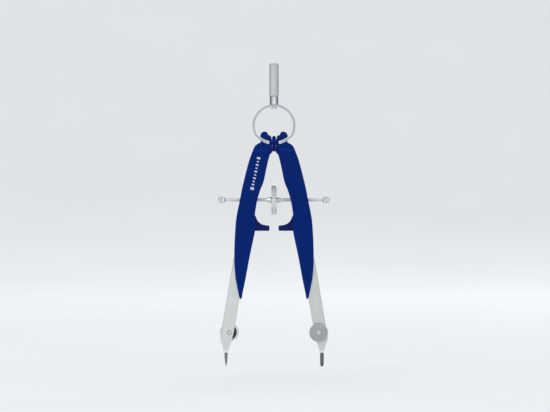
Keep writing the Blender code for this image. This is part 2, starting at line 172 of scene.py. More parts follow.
def maths(nt, op, a, b=None):
    n = node(nt, "ShaderNodeMath", operation=op)
    for k, v in enumerate((a, b)):
        if v is None:
            continue
        if isinstance(v, (int, float)):
            n.inputs[k].default_value = v
        else:
            nt.links.new(v, n.inputs[k])
    return n.outputs[0]


def mixed(nt, factor, a, b):
    n = node(nt, "ShaderNodeMix", data_type="RGBA")
    nt.links.new(factor, n.inputs["Factor"])
    for key, v in (("A", a), ("B", b)):
        socket = [s for s in n.inputs if s.name == key and s.type == "RGBA"][0]
        if isinstance(v, tuple):
            socket.default_value = (*v, 1)
        else:
            nt.links.new(v, socket)
    return [s for s in n.outputs if s.type == "RGBA"][0]


def edge_of(nt):
    """1 on rounded edges, 0 elsewhere: a point attribute of every piece made here."""
    n = node(nt, "ShaderNodeAttribute", attribute_name="edge")
    return n.outputs["Fac"]


def bump(nt, heights, strength, distance):
    """heights is a list of (socket, weight)."""
    total = None
    for h, w in heights:
        part = maths(nt, "MULTIPLY", h, w)
        total = part if total is None else maths(nt, "ADD", total, part)
    n = node(nt, "ShaderNodeBump")
    n.inputs["Strength"].default_value = strength
    n.inputs["Distance"].default_value = distance
    nt.links.new(total, n.inputs["Height"])
    return n.outputs["Normal"]


def lacquer(name, dark, light, edge, rough, peel=0.10, spec=0.3, coat=0.0):
    """Stoved blue lacquer: slow tone change, fine orange peel, lighter over the edges (partly thinner paint, partly a
    painted highlight), faint handling marks.
    """
    m, nt, b = new_material(name)
    v = coords(nt)
    slow = noise(nt, v, 55.0, 3.0, 0.5)
    fine = noise(nt, v, 2600.0, 3.0, 0.6)
    speck = noise(nt, v, 900.0, 5.0, 0.65)
    tone = mixed(nt, ranged(nt, slow, 0.3, 0.7, 0.0, 1.0), dark, light)
    # edge colour: partly thinner paint over the edges, partly a painted highlight along them
    e = maths(nt, "MULTIPLY", edge_of(nt), ranged(nt, speck, 0.3, 0.62, 0.45, 1.0))
    nt.links.new(mixed(nt, e, tone, edge), b.inputs["Base Color"])
    marks = noise(nt, coords(nt, (1.0, 1.0, 0.12), (0, radians(10), 0)), 1500.0, 4.0, 0.7)
    r = maths(nt, "ADD", ranged(nt, slow, 0.25, 0.75, rough - 0.035, rough + 0.035), ranged(nt, marks, 0.55, 0.8, 0.0, 0.12))
    nt.links.new(r, b.inputs["Roughness"])
    nt.links.new(bump(nt, [(fine, 0.6), (speck, 0.4)], peel, 0.00006), b.inputs["Normal"])
    b.inputs["Specular IOR Level"].default_value = spec
    b.inputs["Coat Weight"].default_value = coat
    b.inputs["Coat Roughness"].default_value = 0.2
    return m


def metal(name, tone, rough, spread=0.06, grain=(1, 1, 1), turn=(0, 0, 0), grain_scale=2500.0, grain_bump=0.12, cloud=0.12,
          edge_tone=None, dull=None, aniso=0.0):
    """Bare or plated metal: grain drawn out along one direction, cloudy roughness, edges brighter (partly rubbed
    wear, partly a painted highlight).
    """
    m, nt, b = new_material(name)
    v = coords(nt)
    cloudy = noise(nt, v, 140.0, 4.0, 0.6, 0.4)
    lines = noise(nt, coords(nt, grain, turn), grain_scale, 4.0, 0.6)
    dots = noise(nt, v, 3200.0, 2.0, 0.5)
    dull = dull or tuple(c * 0.86 for c in tone)
    colour = mixed(nt, ranged(nt, cloudy, 0.32, 0.7, 0.0, 1.0), dull, tone)
    # edge colour: partly rubbed wear, partly a painted highlight along the bevels
    rubbed_and_highlit_edge = edge_tone or tuple(min(c * 1.15, 0.96) for c in tone)
    e = maths(nt, "MULTIPLY", edge_of(nt), ranged(nt, dots, 0.3, 0.6, 0.5, 1.0))
    nt.links.new(mixed(nt, e, colour, rubbed_and_highlit_edge), b.inputs["Base Color"])
    r = maths(nt, "ADD", ranged(nt, cloudy, 0.3, 0.72, rough + cloud * 0.5, rough - cloud * 0.5), ranged(nt, lines, 0.3, 0.7, -spread, spread))
    r = maths(nt, "SUBTRACT", r, maths(nt, "MULTIPLY", e, 0.06))
    nt.links.new(r, b.inputs["Roughness"])
    nt.links.new(bump(nt, [(lines, 0.8), (dots, 0.2)], grain_bump, 0.00005), b.inputs["Normal"])
    b.inputs["Metallic"].default_value = 1.0
    b.inputs["Anisotropic"].default_value = aniso
    return m


def turned_metal(name, tone, rough, centre, axis, pitch=0.12, depth=0.10, spread=0.05):
    """Metal with the fine circular lines of a lathe about the given centre line."""
    m, nt, b = new_material(name)
    tc = node(nt, "ShaderNodeTexCoord")
    sub = node(nt, "ShaderNodeVectorMath", operation="SUBTRACT")
    sub.inputs[1].default_value = centre
    nt.links.new(tc.outputs["Object"], sub.inputs[0])
    flat = node(nt, "ShaderNodeVectorMath", operation="MULTIPLY")
    flat.inputs[1].default_value = {"X": (0, 1, 1), "Y": (1, 0, 1), "Z": (1, 1, 0)}[axis]
    nt.links.new(sub.outputs[0], flat.inputs[0])
    length = node(nt, "ShaderNodeVectorMath", operation="LENGTH")
    nt.links.new(flat.outputs[0], length.inputs[0])
    along = node(nt, "ShaderNodeVectorMath", operation="DOT_PRODUCT")
    along.inputs[1].default_value = {"X": (1, 0, 0), "Y": (0, 1, 0), "Z": (0, 0, 1)}[axis]
    nt.links.new(sub.outputs[0], along.inputs[0])
    both = node(nt, "ShaderNodeCombineXYZ")
    nt.links.new(length.outputs["Value"], both.inputs[0])
    nt.links.new(along.outputs["Value"], both.inputs[1])
    rings = noise(nt, both.outputs[0], 1.0 / (pitch * MM), 3.0, 0.6)
    v = tc.outputs["Object"]
    cloudy = noise(nt, v, 160.0, 4.0, 0.6, 0.3)
    dots = noise(nt, v, 3000.0, 2.0, 0.5)
    e = maths(nt, "MULTIPLY", edge_of(nt), ranged(nt, dots, 0.3, 0.6, 0.5, 1.0))
    colour = mixed(nt, ranged(nt, cloudy, 0.32, 0.7, 0.0, 1.0), tuple(c * 0.85 for c in tone), tone)
    # edges lighter: partly rubbed wear, partly a painted highlight along the bevels
    nt.links.new(mixed(nt, e, colour, tuple(min(c * 1.18, 0.96) for c in tone)), b.inputs["Base Color"])
    r = maths(nt, "ADD", ranged(nt, cloudy, 0.3, 0.7, rough + 0.05, rough - 0.04), ranged(nt, rings, 0.3, 0.7, -spread, spread))
    nt.links.new(r, b.inputs["Roughness"])
    nt.links.new(bump(nt, [(rings, 1.0)], depth, 0.00006), b.inputs["Normal"])
    b.inputs["Metallic"].default_value = 1.0
    return m


def graphite_material():
    m, nt, b = new_material("graphite")
    v = coords(nt)
    drawn = noise(nt, coords(nt, (1, 1, 0.08)), 3800.0, 4.0, 0.6)
    grains = noise(nt, v, 5200.0, 3.0, 0.6)
    nt.links.new(mixed(nt, ranged(nt, grains, 0.3, 0.7, 0.0, 1.0), (0.085, 0.088, 0.096), (0.17, 0.177, 0.192)), b.inputs["Base Color"])
    nt.links.new(ranged(nt, drawn, 0.3, 0.7, 0.36, 0.55), b.inputs["Roughness"])
    nt.links.new(bump(nt, [(drawn, 0.7), (grains, 0.3)], 0.2, 0.00004), b.inputs["Normal"])
    b.inputs["Metallic"].default_value = 0.35
    return m


def print_material():
    m, nt, b = new_material("printed_marks")
    v = coords(nt)
    n = noise(nt, v, 2400.0, 4.0, 0.6)
    nt.links.new(mixed(nt, ranged(nt, n, 0.32, 0.6, 0.0, 1.0), (0.40, 0.44, 0.56), (0.62, 0.66, 0.77)), b.inputs["Base Color"])
    nt.links.new(ranged(nt, n, 0.3, 0.7, 0.62, 0.48), b.inputs["Roughness"])
    return m


def at(x, y, z):
    return (x * MM, y * MM, (z - ORIGIN_Z) * MM)


M_BLUE = lacquer("leg_lacquer", (0.0002, 0.0150, 0.142), (0.0005, 0.0188, 0.168), (0.005, 0.040, 0.25), 0.38, 0.08, 0.045)
M_HEAD = lacquer("plate_lacquer", (0.0008, 0.0112, 0.120), (0.0016, 0.0140, 0.146), (0.009, 0.040, 0.25), 0.38, 0.08, 0.05)
# lighter blue for the sloping step faces below the leg heads: a painted highlight from light falling from above
M_PAINTED_HIGHLIGHT_STEP = lacquer("step_lacquer", (0.0010, 0.0230, 0.190), (0.0016, 0.0290, 0.225), (0.008, 0.055, 0.31), 0.38, 0.08, 0.05)
M_LEVER = lacquer("lever_plastic", (0.0040, 0.0088, 0.104), (0.0060, 0.0118, 0.128), (0.016, 0.034, 0.25), 0.42, 0.12, 0.08)
M_SATIN = metal("satin_nickel", (0.615, 0.640, 0.622), 0.38, 0.05, (1, 1, 0.06), (0, radians(-9.6), 0), 2200.0, 0.06, 0.10,
                (0.90, 0.91, 0.91), (0.575, 0.600, 0.582))
# the same satin nickel made lighter for the left lower leg: painted light on that side
M_SATIN_PAINTED_LIGHT_LEFT = metal("satin_nickel_left", (0.690, 0.705, 0.690), 0.38, 0.05, (1, 1, 0.06), (0, radians(9.6), 0), 2200.0, 0.06, 0.10,
                  (0.92, 0.93, 0.93), (0.648, 0.664, 0.650))
M_CHROME = metal("spring_chrome", (0.46, 0.47, 0.52), 0.20, 0.03, (1, 1, 1), (0, 0, 0), 1800.0, 0.03, 0.06, (0.62, 0.64, 0.70))
M_SCREW = metal("screw_chrome", (0.90, 0.90, 0.93), 0.16, 0.03, (1, 1, 1), (0, 0, 0), 1800.0, 0.03, 0.05)
M_WHEEL = turned_metal("wheel_nickel", (0.68, 0.68, 0.70), 0.22, at(0, 0, SPINDLE_Z), "X")
M_CAP = turned_metal("cap_nickel", (0.70, 0.70, 0.73), 0.22, at(0, 0, SPINDLE_Z), "X", 0.10)
M_THREAD = turned_metal("thread_steel", (0.86, 0.86, 0.885), 0.32, at(0, 0, SPINDLE_Z), "X", 0.08, 0.05)
M_GRIP = metal("grip_nickel", (0.60, 0.615, 0.625), 0.52, 0.05, (1, 1, 1), (0, 0, 0), 3000.0, 0.08, 0.08)
M_GRIP.node_tree.nodes["Principled BSDF"].inputs["Metallic"].default_value = 0.55
M_COLLAR = turned_metal("collar_nickel", (0.68, 0.69, 0.695), 0.14, at(0, 0, 140), "Z", 0.10, 0.03, 0.03)
M_DISC_R = turned_metal("clamp_nickel_right", (0.435, 0.440, 0.455), 0.40, at(CLAMP[0], 0, CLAMP[1]), "Y", 0.16, 0.16)
M_DISC_L = turned_metal("clamp_nickel_left", (0.435, 0.440, 0.455), 0.40, at(-CLAMP[0], 0, CLAMP[1]), "Y", 0.16, 0.16)
M_STEEL = metal("pin_steel", (0.60, 0.61, 0.62), 0.30, 0.05, (1, 1, 1), (0, 0, 0), 2600.0, 0.06, 0.08)
M_NEEDLE = turned_metal("needle_steel", (0.24, 0.25, 0.262), 0.26, at(-TIP_X, 0, 0), "Z", 0.08, 0.04, 0.04)
M_NOSE = metal("polished_ferrule", (0.93, 0.94, 0.95), 0.14, 0.02, (1, 1, 1), (0, 0, 0), 1800.0, 0.03, 0.05)
M_DIMPLE = metal("clamp_centre", (0.70, 0.71, 0.73), 0.30, 0.04, (1, 1, 1), (0, 0, 0), 2600.0, 0.05, 0.06)
# much lighter finish for the rim of the clamp discs' underside: a painted highlight where the rim catches light
M_PAINTED_HIGHLIGHT_RIM = metal("clamp_rim_painted_highlight", (0.74, 0.75, 0.76), 0.30, 0.04, (1, 1, 1), (0, 0, 0), 2600.0, 0.05, 0.06)
# near-black finish for the clamp discs' recessed underside: painted shade between the disc and the bar
M_PAINTED_SHADE_UNDER = metal("clamp_underside", (0.085, 0.09, 0.10), 0.50, 0.05, (1, 1, 1), (0, 0, 0), 2600.0, 0.08, 0.10, (0.12, 0.125, 0.13))
M_SPRING = metal("spring_steel", (0.55, 0.56, 0.57), 0.24, 0.04, (1, 1, 1), (0, 0, 0), 3000.0, 0.05, 0.08)
M_BRASS = metal("brass", (0.66, 0.47, 0.19), 0.30, 0.05, (1, 0.1, 1), (0, 0, 0), 2400.0, 0.07, 0.12, (0.82, 0.63, 0.30), (0.50, 0.34, 0.13))
M_LEAD = graphite_material()
M_PRINT = print_material()


# ------------------------------------------------------------------ mesh helpers
cutters = []


def piece_name(name):
    """A piece that stands for one CAD node carries that node's name with an ending of its own."""
    return name + "_detailed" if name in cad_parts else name


def to_object(name, bm, mat=None):
    """An object at the row frame's origin from a bmesh drawn in millimetres over the points' plane."""
    bmesh.ops.remove_doubles(bm, verts=bm.verts, dist=0.0004)
    bmesh.ops.dissolve_degenerate(bm, edges=bm.edges, dist=0.0002)
    bmesh.ops.recalc_face_normals(bm, faces=bm.faces)
    for v in bm.verts:
        v.co = at(*v.co)
    mesh = bpy.data.meshes.new(name)
    bm.to_mesh(mesh)
    bm.free()
    ob = bpy.data.objects.new(piece_name(name), mesh)
    bpy.context.scene.collection.objects.link(ob)
    if mat:
        mesh.materials.append(mat)
    return ob


def cut(ob, bm, how="DIFFERENCE"):
    tool = to_object("tool", bm)
    cutters.append(tool)
    m = ob.modifiers.new("cut", "BOOLEAN")
    m.operation = how
    m.solver = "EXACT"
    m.object = tool
    return ob


def baked(ob):
    """Applies the modifiers and removes the cutting solids."""
    dg = bpy.context.evaluated_depsgraph_get()
    mesh = bpy.data.meshes.new_from_object(ob.evaluated_get(dg))
    old, mats = ob.data, [m for m in ob.data.materials]
    ob.modifiers.clear()
    ob.data = mesh
    bpy.data.meshes.remove(old)
    mesh.name = ob.name
    mesh.materials.clear()
    for m in mats:
        mesh.materials.append(m)
    for c in cutters:
        me = c.data
        bpy.data.objects.remove(c, do_unlink=True)
        bpy.data.meshes.remove(me)
    cutters.clear()
    return ob


def shade(ob, sharp=34.0, weighted=True, edges=(15.0, 21.0)):
    """Smooth shading with sharp creases, face-weighted normals, and the edge attribute that the materials read."""
    mesh = ob.data
    mesh.shade_smooth()
    mesh.set_sharp_from_angle(angle=radians(sharp))
    bm = bmesh.new()
    bm.from_mesh(mesh)
    value = np.zeros(len(bm.verts), np.float32)
    bm.verts.index_update()
    lo, hi = (radians(a) for a in edges)
    for e in bm.edges:
        if len(e.link_faces) == 2:
            a = e.calc_face_angle_signed(0.0)
            w = min(max((a - lo) / (hi - lo), 0.0), 1.0)
            for v in e.verts:
                value[v.index] = max(value[v.index], w)
    # a wide face stays plain: its corners would draw pale streaks right across it
    for f in bm.faces:
        if f.calc_area() > 1.2e-6:
            for v in f.verts:
                value[v.index] = 0.0
    bm.free()
    attribute = mesh.attributes.get("edge") or mesh.attributes.new("edge", "FLOAT", "POINT")
    attribute.data.foreach_set("value", value)
    if weighted:
        m = ob.modifiers.new("face_weighted_normals", "WEIGHTED_NORMAL")
        m.mode = "FACE_AREA"
        m.weight = 50
        m.keep_sharp = True
    return ob


def mirrored(ob, name, mat=None):
    """The same piece for the other side of the compass."""
    mesh = ob.data.copy()
    mesh.name = name
    mesh.transform(Matrix.Scale(-1, 4, (1, 0, 0)))
    mesh.flip_normals()
    new = bpy.data.objects.new(piece_name(name), mesh)
    bpy.context.scene.collection.objects.link(new)
    if mat:
        mesh.materials.clear()
        mesh.materials.append(mat)
    return new


def catmull(points, steps):
    pts = [Vector(p) for p in points]
    pts = [2 * pts[0] - pts[1]] + pts + [2 * pts[-1] - pts[-2]]
    out = []
    for i in range(1, len(pts) - 2):
        p0, p1, p2, p3 = pts[i - 1:i + 3]
        for k in range(steps):
            t = k / steps
            q = 0.5 * ((2 * p1) + (p2 - p0) * t + (2 * p0 - 5 * p1 + 4 * p2 - p3) * t * t
                       + (3 * p1 - p0 - 3 * p2 + p3) * t ** 3)
            out.append((q.x, q.y))
    out.append(tuple(pts[-2]))
    return out


def arc(cx, cz, r, a0, a1, n):
    return [(cx + r * cos(radians(a0 + (a1 - a0) * i / n)), cz + r * sin(radians(a0 + (a1 - a0) * i / n)))
            for i in range(n + 1)]


def filleted(points, n=5, closed=True):
    """Corners given as (x, z, radius) become arcs; plain (x, z) points stay."""
    out, count = [], len(points)
    for i, p in enumerate(points):
        if len(p) < 3 or (not closed and i in (0, count - 1)):
            out.append((p[0], p[1]))
            continue
        c = Vector(p[:2])
        a, b = Vector(points[i - 1][:2]) - c, Vector(points[(i + 1) % count][:2]) - c
        la, lb = a.length, b.length
        a.normalize(), b.normalize()
        angle = acos(max(-1.0, min(1.0, a.dot(b))))
        if angle > radians(176) or angle < radians(4):
            out.append((c.x, c.y))
            continue
        t = min(p[2] / tan(angle / 2), 0.47 * la, 0.47 * lb)
        r = t * tan(angle / 2)
        centre = c + (a + b).normalized() * (r / sin(angle / 2))
        start, end = c + a * t - centre, c + b * t - centre
        s0, turn = atan2(start.y, start.x), atan2(start.x * end.y - start.y * end.x, start.dot(end))
        for k in range(n + 1):
            w = s0 + turn * k / n
            out.append((centre.x + r * cos(w), centre.y + r * sin(w)))
    return out


def tidy(outline, least=0.03):
    out = []
    for p in outline:
        if not out or (Vector(p) - Vector(out[-1])).length > least:
            out.append(p)
    while (Vector(out[0]) - Vector(out[-1])).length <= least:
        out.pop()
    return out


def bisectors(outline):
    """For each point of a closed outline, the step inwards that moves both its sides in by one."""
    p = np.array(outline, float)
    q, o = np.roll(p, -1, 0), np.roll(p, 1, 0)
    sign = 1.0 if np.sum(p[:, 0] * q[:, 1] - q[:, 0] * p[:, 1]) > 0 else -1.0
    e1, e2 = p - o, q - p
    e1 /= np.linalg.norm(e1, axis=1)[:, None]
    e2 /= np.linalg.norm(e2, axis=1)[:, None]
    n1 = np.stack([-e1[:, 1], e1[:, 0]], 1) * sign
    n2 = np.stack([-e2[:, 1], e2[:, 0]], 1) * sign
    return p, (n1 + n2) / np.maximum(1.0 + np.sum(n1 * n2, 1), 0.25)[:, None]


def rim_steps(outline, r):
    """The bisectors, shortened where a rim of radius r would fold over itself in a tight corner."""
    p, m = bisectors(outline)
    f = np.ones(len(p))
    edge = np.roll(p, -1, 0) - p
    for _ in range(60):
        q = p + m * (r * f)[:, None]
        new = np.roll(q, -1, 0) - q
        bad = np.sum(new * edge, 1) < 0.12 * np.sum(edge * edge, 1)
        if not bad.any():
            break
        hit = bad | np.roll(bad, 1)
        for k in (-2, -1, 1, 2):
            hit = hit | np.roll(hit, k)
        f[hit] *= 0.88
    for _ in range(3):
        f = np.minimum(f, (np.roll(f, 1) + 2 * f + np.roll(f, -1)) / 4)
    return p, m * f[:, None]


def inset(outline, d):
    """A closed outline moved inwards by d."""
    p, m = rim_steps(outline, d)
    return [tuple(x) for x in p + m * d]


def slab(outline, y0, y1, r=0.0, n=4, r1=None):
    """A plate of that outline in x, z from y0 to y1, with rounded rims of radius r (and r1 at y1)."""
    outline = tidy(outline)
    r1 = r if r1 is None else r1

    def rim(radius):
        """(distance from the face, inset) from the flat face out to the side."""
        if radius <= 0:
            return [(0.0, 0.0)]
        return [(radius * (1 - cos(radians(90 * k / n))), radius * (1 - sin(radians(90 * k / n)))) for k in range(n + 1)]

    levels = [(y0 + t, d) for t, d in rim(r)] + [(y1 - t, d) for t, d in reversed(rim(r1))]
    p, steps = rim_steps(outline, max(r, r1, 0.001))
    bm = bmesh.new()
    rings = [[bm.verts.new((x, y, z)) for x, z in p + steps * d] for y, d in levels]
    m = len(outline)
    for a, b in zip(rings, rings[1:]):
        for i in range(m):
            j = (i + 1) % m
            bm.faces.new((a[i], a[j], b[j], b[i]))
    bm.faces.new(rings[0])
    bm.faces.new(rings[-1])
    return bm


def place(axis, centre, u, v, d):
    cx, cy, cz = centre
    if axis == "X":
        return (cx + d, cy + u, cz + v)
    if axis == "Y":
        return (cx + u, cy + d, cz + v)
    return (cx + u, cy + v, cz + d)


def lathe(profile, axis, centre, steps=64, ripple=None, closed=False, bm=None):
    """A turned solid. profile is (radius, distance along the axis); ripple(a, r, d) gives a change of radius."""
    bm = bm or bmesh.new()
    rings = []
    for r, d in profile:
        if r < 1e-6:
            rings.append([bm.verts.new(place(axis, centre, 0, 0, d))])
            continue
        ring = []
        for i in range(steps):
            a = 2 * pi * i / steps
            q = r + (ripple(a, r, d) if ripple else 0.0)
            ring.append(bm.verts.new(place(axis, centre, q * cos(a), q * sin(a), d)))
        rings.append(ring)
    pairs = list(zip(rings, rings[1:])) + ([(rings[-1], rings[0])] if closed else [])
    for a, b in pairs:
        for i in range(steps):
            j = (i + 1) % steps
            if len(a) == 1 and len(b) > 1:
                bm.faces.new((a[0], b[i], b[j]))
            elif len(b) == 1 and len(a) > 1:
                bm.faces.new((a[i], a[j], b[0]))
            elif len(a) > 1 and len(b) > 1:
                bm.faces.new((a[i], a[j], b[j], b[i]))
    if not closed:
        for ring in (rings[0], rings[-1]):
            if len(ring) > 1:
                bm.faces.new(ring)
    return bm


def cylinder(r, d0, d1, axis, centre, steps=48):
    return lathe([(r, d0), (r, d1)], axis, centre, steps)


def block(x0, x1, y0, y1, z0, z1):
    return slab([(x0, z0), (x1, z0), (x1, z1), (x0, z1)], y0, y1)


def offset_line(pts, d):
    out = []
    for i, p in enumerate(pts):
        a = Vector(pts[max(i - 1, 0)])
        b = Vector(pts[min(i + 1, len(pts) - 1)])
        t = (b - a).normalized()
        out.append((p[0] - t.y * d, p[1] + t.x * d))
    return out


def tube(points, r, sides=10):
    """A closed round wire along a line of points."""
    bm = bmesh.new()
    pts = [Vector(p) for p in points]
    tangent = (pts[1] - pts[0]).normalized()
    side = tangent.orthogonal().normalized()
    rings = []
    for i, p in enumerate(pts):
        t = (pts[min(i + 1, len(pts) - 1)] - pts[max(i - 1, 0)]).normalized()
        side = (side - t * side.dot(t)).normalized()
        up = t.cross(side)
        rings.append([bm.verts.new(p + r * (cos(2 * pi * k / sides) * side + sin(2 * pi * k / sides) * up)) for k in range(sides)])
    for a, b in zip(rings, rings[1:]):
        for k in range(sides):
            bm.faces.new((a[k], a[(k + 1) % sides], b[(k + 1) % sides], b[k]))
    bm.faces.new(rings[0])
    bm.faces.new(rings[-1])
    return bm


def finish_where(ob, mat, test):
    """Gives the faces whose middle (in mm over the points' plane) passes the test a finish of their own."""
    ob.data.materials.append(mat)
    index = len(ob.data.materials) - 1
    for p in ob.data.polygons:
        x, y, z = p.center.x / MM, p.center.y / MM, p.center.z / MM + ORIGIN_Z
        if test(x, y, z):
            p.material_index = index


def fit(ob, body, nodes):
    """The piece rides on its body and stands for its CAD nodes, which it hides."""
    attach(ob, body)
    if nodes:
        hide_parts(*nodes)
    return ob


# ------------------------------------------------------------------ ring spring
def ring_half(n_arc, n_end):
    pts = arc(0, RING_Z, RING_R, 90, RING_TURN, n_arc)
    a = radians(RING_TURN)
    p0 = Vector((RING_R * cos(a), RING_Z + RING_R * sin(a)))
    p1 = p0 + 2.2 * Vector((sin(a), -cos(a)))
    p3 = Vector(RING_END)
    p2 = p3 + 2.6 * Vector((0.965, 0.262))
    for i in range(1, n_end + 1):
        t = i / n_end
        q = (1 - t) ** 3 * p0 + 3 * (1 - t) ** 2 * t * p1 + 3 * (1 - t) * t * t * p2 + t ** 3 * p3
        pts.append((q.x, q.y))
    return pts


def build_ring():
    """Half of the flat band with drawn, rounded edges, swept along its line."""
    line = ring_half(72, 22)
    r, n = 0.24, 4
    section = filleted([(-BAND_T / 2, -BAND_HALF, r), (BAND_T / 2, -BAND_HALF, r), (BAND_T / 2, BAND_HALF, r), (-BAND_T / 2, BAND_HALF, r)], n)
    bm = bmesh.new()
    rings = []
    for i, p in enumerate(line):
        a = Vector(line[max(i - 1, 0)])
        b = Vector(line[min(i + 1, len(line) - 1)])
        t = (b - a).normalized() if i else Vector((1, 0))
        normal = Vector((-t.y, t.x))
        # the band is ground thinner over its last stretch, inside the leg's slot
        thin = 0.42 + 0.58 * min((Vector(p) - Vector(line[-1])).length / 3.2, 1.0)
        rings.append([bm.verts.new((p[0] + normal.x * u * thin, v, p[1] + normal.y * u * thin)) for u, v in section])
    m = len(section)
    for a, b in zip(rings, rings[1:]):
        for k in range(m):
            bm.faces.new((a[k], a[(k + 1) % m], b[(k + 1) % m], b[k]))
    bm.faces.new(rings[0])
    bm.faces.new(rings[-1])
    ob = to_object("ring_spring_right", bm, M_CHROME)
    cut(ob, cylinder(1.2, 135, 142, "Z", (0, 0, 0), 40))
    baked(ob)
    other = mirrored(ob, "ring_spring_left")
    for o, side in ((ob, "right"), (other, "left")):
        shade(o)
        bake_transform(o)
        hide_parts("ring_spring")


build_ring()


# ------------------------------------------------------------------ handle
def build_handle():
    # knurled grip: two sets of crossing grooves, run out at the plain top and bottom
    count, pitch, depth = 34, 0.47, 0.11
    per = 4
    steps = count * per
    low, high = GRIP_BOTTOM + 0.55, HANDLE_TOP - 1.15
    rows = int(round((high - low) / (pitch / per)))

    def tri(x):
        x = x % 1.0
        return 1.0 - abs(2.0 * x - 1.0)

    def knurl(a, r, d):
        if d < low - 1e-6 or d > high + 1e-6:
            return 0.0
        run = min((d - low) / 0.35, (high - d) / 0.35, 1.0)
        u, v = a * count / (2 * pi) + (d - low) / pitch, a * count / (2 * pi) - (d - low) / pitch
        return -depth * max(run, 0.0) * (1.0 - min(tri(u), tri(v)) * 1.6 if min(tri(u), tri(v)) < 0.625 else 0.0)

    base = filleted([(HANDLE_R - 0.5, GRIP_BOTTOM), (HANDLE_R, GRIP_BOTTOM, 0.16), (HANDLE_R, low)], 4, False)
    body = [(HANDLE_R, low + (high - low) * i / rows) for i in range(1, rows)]
    top = filleted([(HANDLE_R, high), (HANDLE_R, HANDLE_TOP - 0.45, 0.2), (HANDLE_R - 0.45, HANDLE_TOP - 0.02, 0.15), (0.75, HANDLE_TOP, 0.1),
                    (0.45, HANDLE_TOP - 0.18, 0.1), (0.0, HANDLE_TOP - 0.26)], 4, False)
    ob = to_object("handle_grip", lathe([(0, GRIP_BOTTOM)] + base + body + top, "Z", (0, 0, 0), steps, knurl), M_GRIP)
    shade(ob, 50, False, (25, 40))
    fit(ob, "root", ["handle"])

    profile = [(0, GRIP_BOTTOM + 0.3), (COLLAR_R - 0.3, GRIP_BOTTOM + 0.3), (COLLAR_R - 0.3, GRIP_BOTTOM - 0.25, 0.08), (COLLAR_R, GRIP_BOTTOM - 0.45, 0.12),
               (COLLAR_R, COLLAR_BOTTOM + 0.05, 0.1), (1.25, COLLAR_BOTTOM), (1.25, COLLAR_BOTTOM + 2.0), (0, COLLAR_BOTTOM + 2.0)]
    ob = to_object("handle_collar", lathe(filleted(profile, 4, False), "Z", (0, 0, 0), 96), M_COLLAR)
    cut(ob, cylinder(RING_R + BAND_T / 2 + 0.04, -6, 6, "Y", (0, 0, RING_Z), 160))
    baked(ob)
    shade(ob)
    fit(ob, "root", ["handle"])

    head = filleted([(0, 136.05), (0.9, 136.1, 0.4), (SCREW_HEAD_R - 0.1, 136.5, 0.35), (SCREW_HEAD_R, 137.05, 0.12), (SCREW_HEAD_R - 0.12, 137.3, 0.05),
                     (SCREW_R, 137.3), (SCREW_R, 142.0), (0, 142.0)], 5, False)
    ob = to_object("handle_screw", lathe(head, "Z", (0, 0, 0), 64), M_SCREW)
    cut(ob, block(-2.5, 2.5, -0.2, 0.2, 135.0, 136.42))
    baked(ob)
    shade(ob)
    fit(ob, "root", ["handle_screw"])


build_handle()


# ------------------------------------------------------------------ fulcrum
def build_fulcrum():
    outline = arc(0, STRAP_HIGH - STRAP_HALF_W, STRAP_HALF_W, 0, 180, 20) + arc(0, STRAP_LOW + STRAP_HALF_W, STRAP_HALF_W, 180, 360, 20)
    for where, s in (("front", -1), ("back", 1)):
        y0, y1 = sorted((s * STRAP_IN, s * STRAP_OUT))
        ob = to_object("fulcrum_plate_" + where, slab(outline, y0, y1, 0.2, 4), M_HEAD)
        shade(ob)
        fit(ob, "root", ["fulcrum_plate_" + where])
    profile = filleted([(0, -STRAP_OUT + 0.4), (0.6, -STRAP_OUT + 0.4, 0.08), (0.6, -2.12), (FULCRUM_R, -2.12, 0.1), (FULCRUM_R, 2.12, 0.1), (0.6, 2.12),
                        (0.6, STRAP_OUT - 0.4, 0.08), (0, STRAP_OUT - 0.4)], 4, False)
    ob = to_object("fulcrum_pin", lathe(profile, "Y", (0, 0, FULCRUM_Z), 48), M_STEEL)
    shade(ob)
    fit(ob, "root", ["fulcrum_pin"])


build_fulcrum()

# ------------------------------------------------------------------ legs
LEG_OUTER = [(10.8, 115.6), (13.2, 109.0), (15.2, 101.5), (17.1, 93.5), (18.1, 88.0), (19.2, 82.9), (20.1, 77.6),
             (20.7, 69.7), (21.0, 61.7), (21.0, 56.5), (20.75, 51.1), (20.3, 46.5)]
LEG_INNER = [(17.0, 36.6), (16.5, 39.5), (15.2, 45.8), (14.4, 50.1), (12.7, 59.1), (10.15, 71.3), (9.95, 76.0),
             (10.1, 80.3), (9.8, 82.9), (9.35, 85.6), (8.9, 88.2), (8.2, 90.6), (7.2, 93.7), (5.7, 97.3),
             (4.8, 101.0), (4.2, 104.1), (3.1, 109.0), (2.2, 112.2)]


def side(points, s):
    return [(s * x, z) for x, z in points]


def leg_outline():
    head = [(0.9, 113.7, 0.5), (0.5, 115.4), (0.38, 116.5), (0.42, 117.4), (0.6, 118.2, 0.6), (1.7, 122.3, 0.4), (2.9, 122.62, 0.4)]
    lobe = catmull([(3.5, 123.9), (4.6, 124.5), (5.9, 124.3), (6.9, 123.4), (7.3, 122.3)], 6)
    shoulder = [(7.3, 120.5), (7.1, 118.75, 0.35), (8.6, 118.1), (10.0, 117.0, 1.0)]
    outer = catmull(LEG_OUTER, 8)
    tip = [(18.4, 37.0, 0.6), (17.4, 35.3, 0.5)]
    inner = catmull(LEG_INNER, 6)
    return filleted(head + lobe + shoulder + outer + tip + inner, 5)


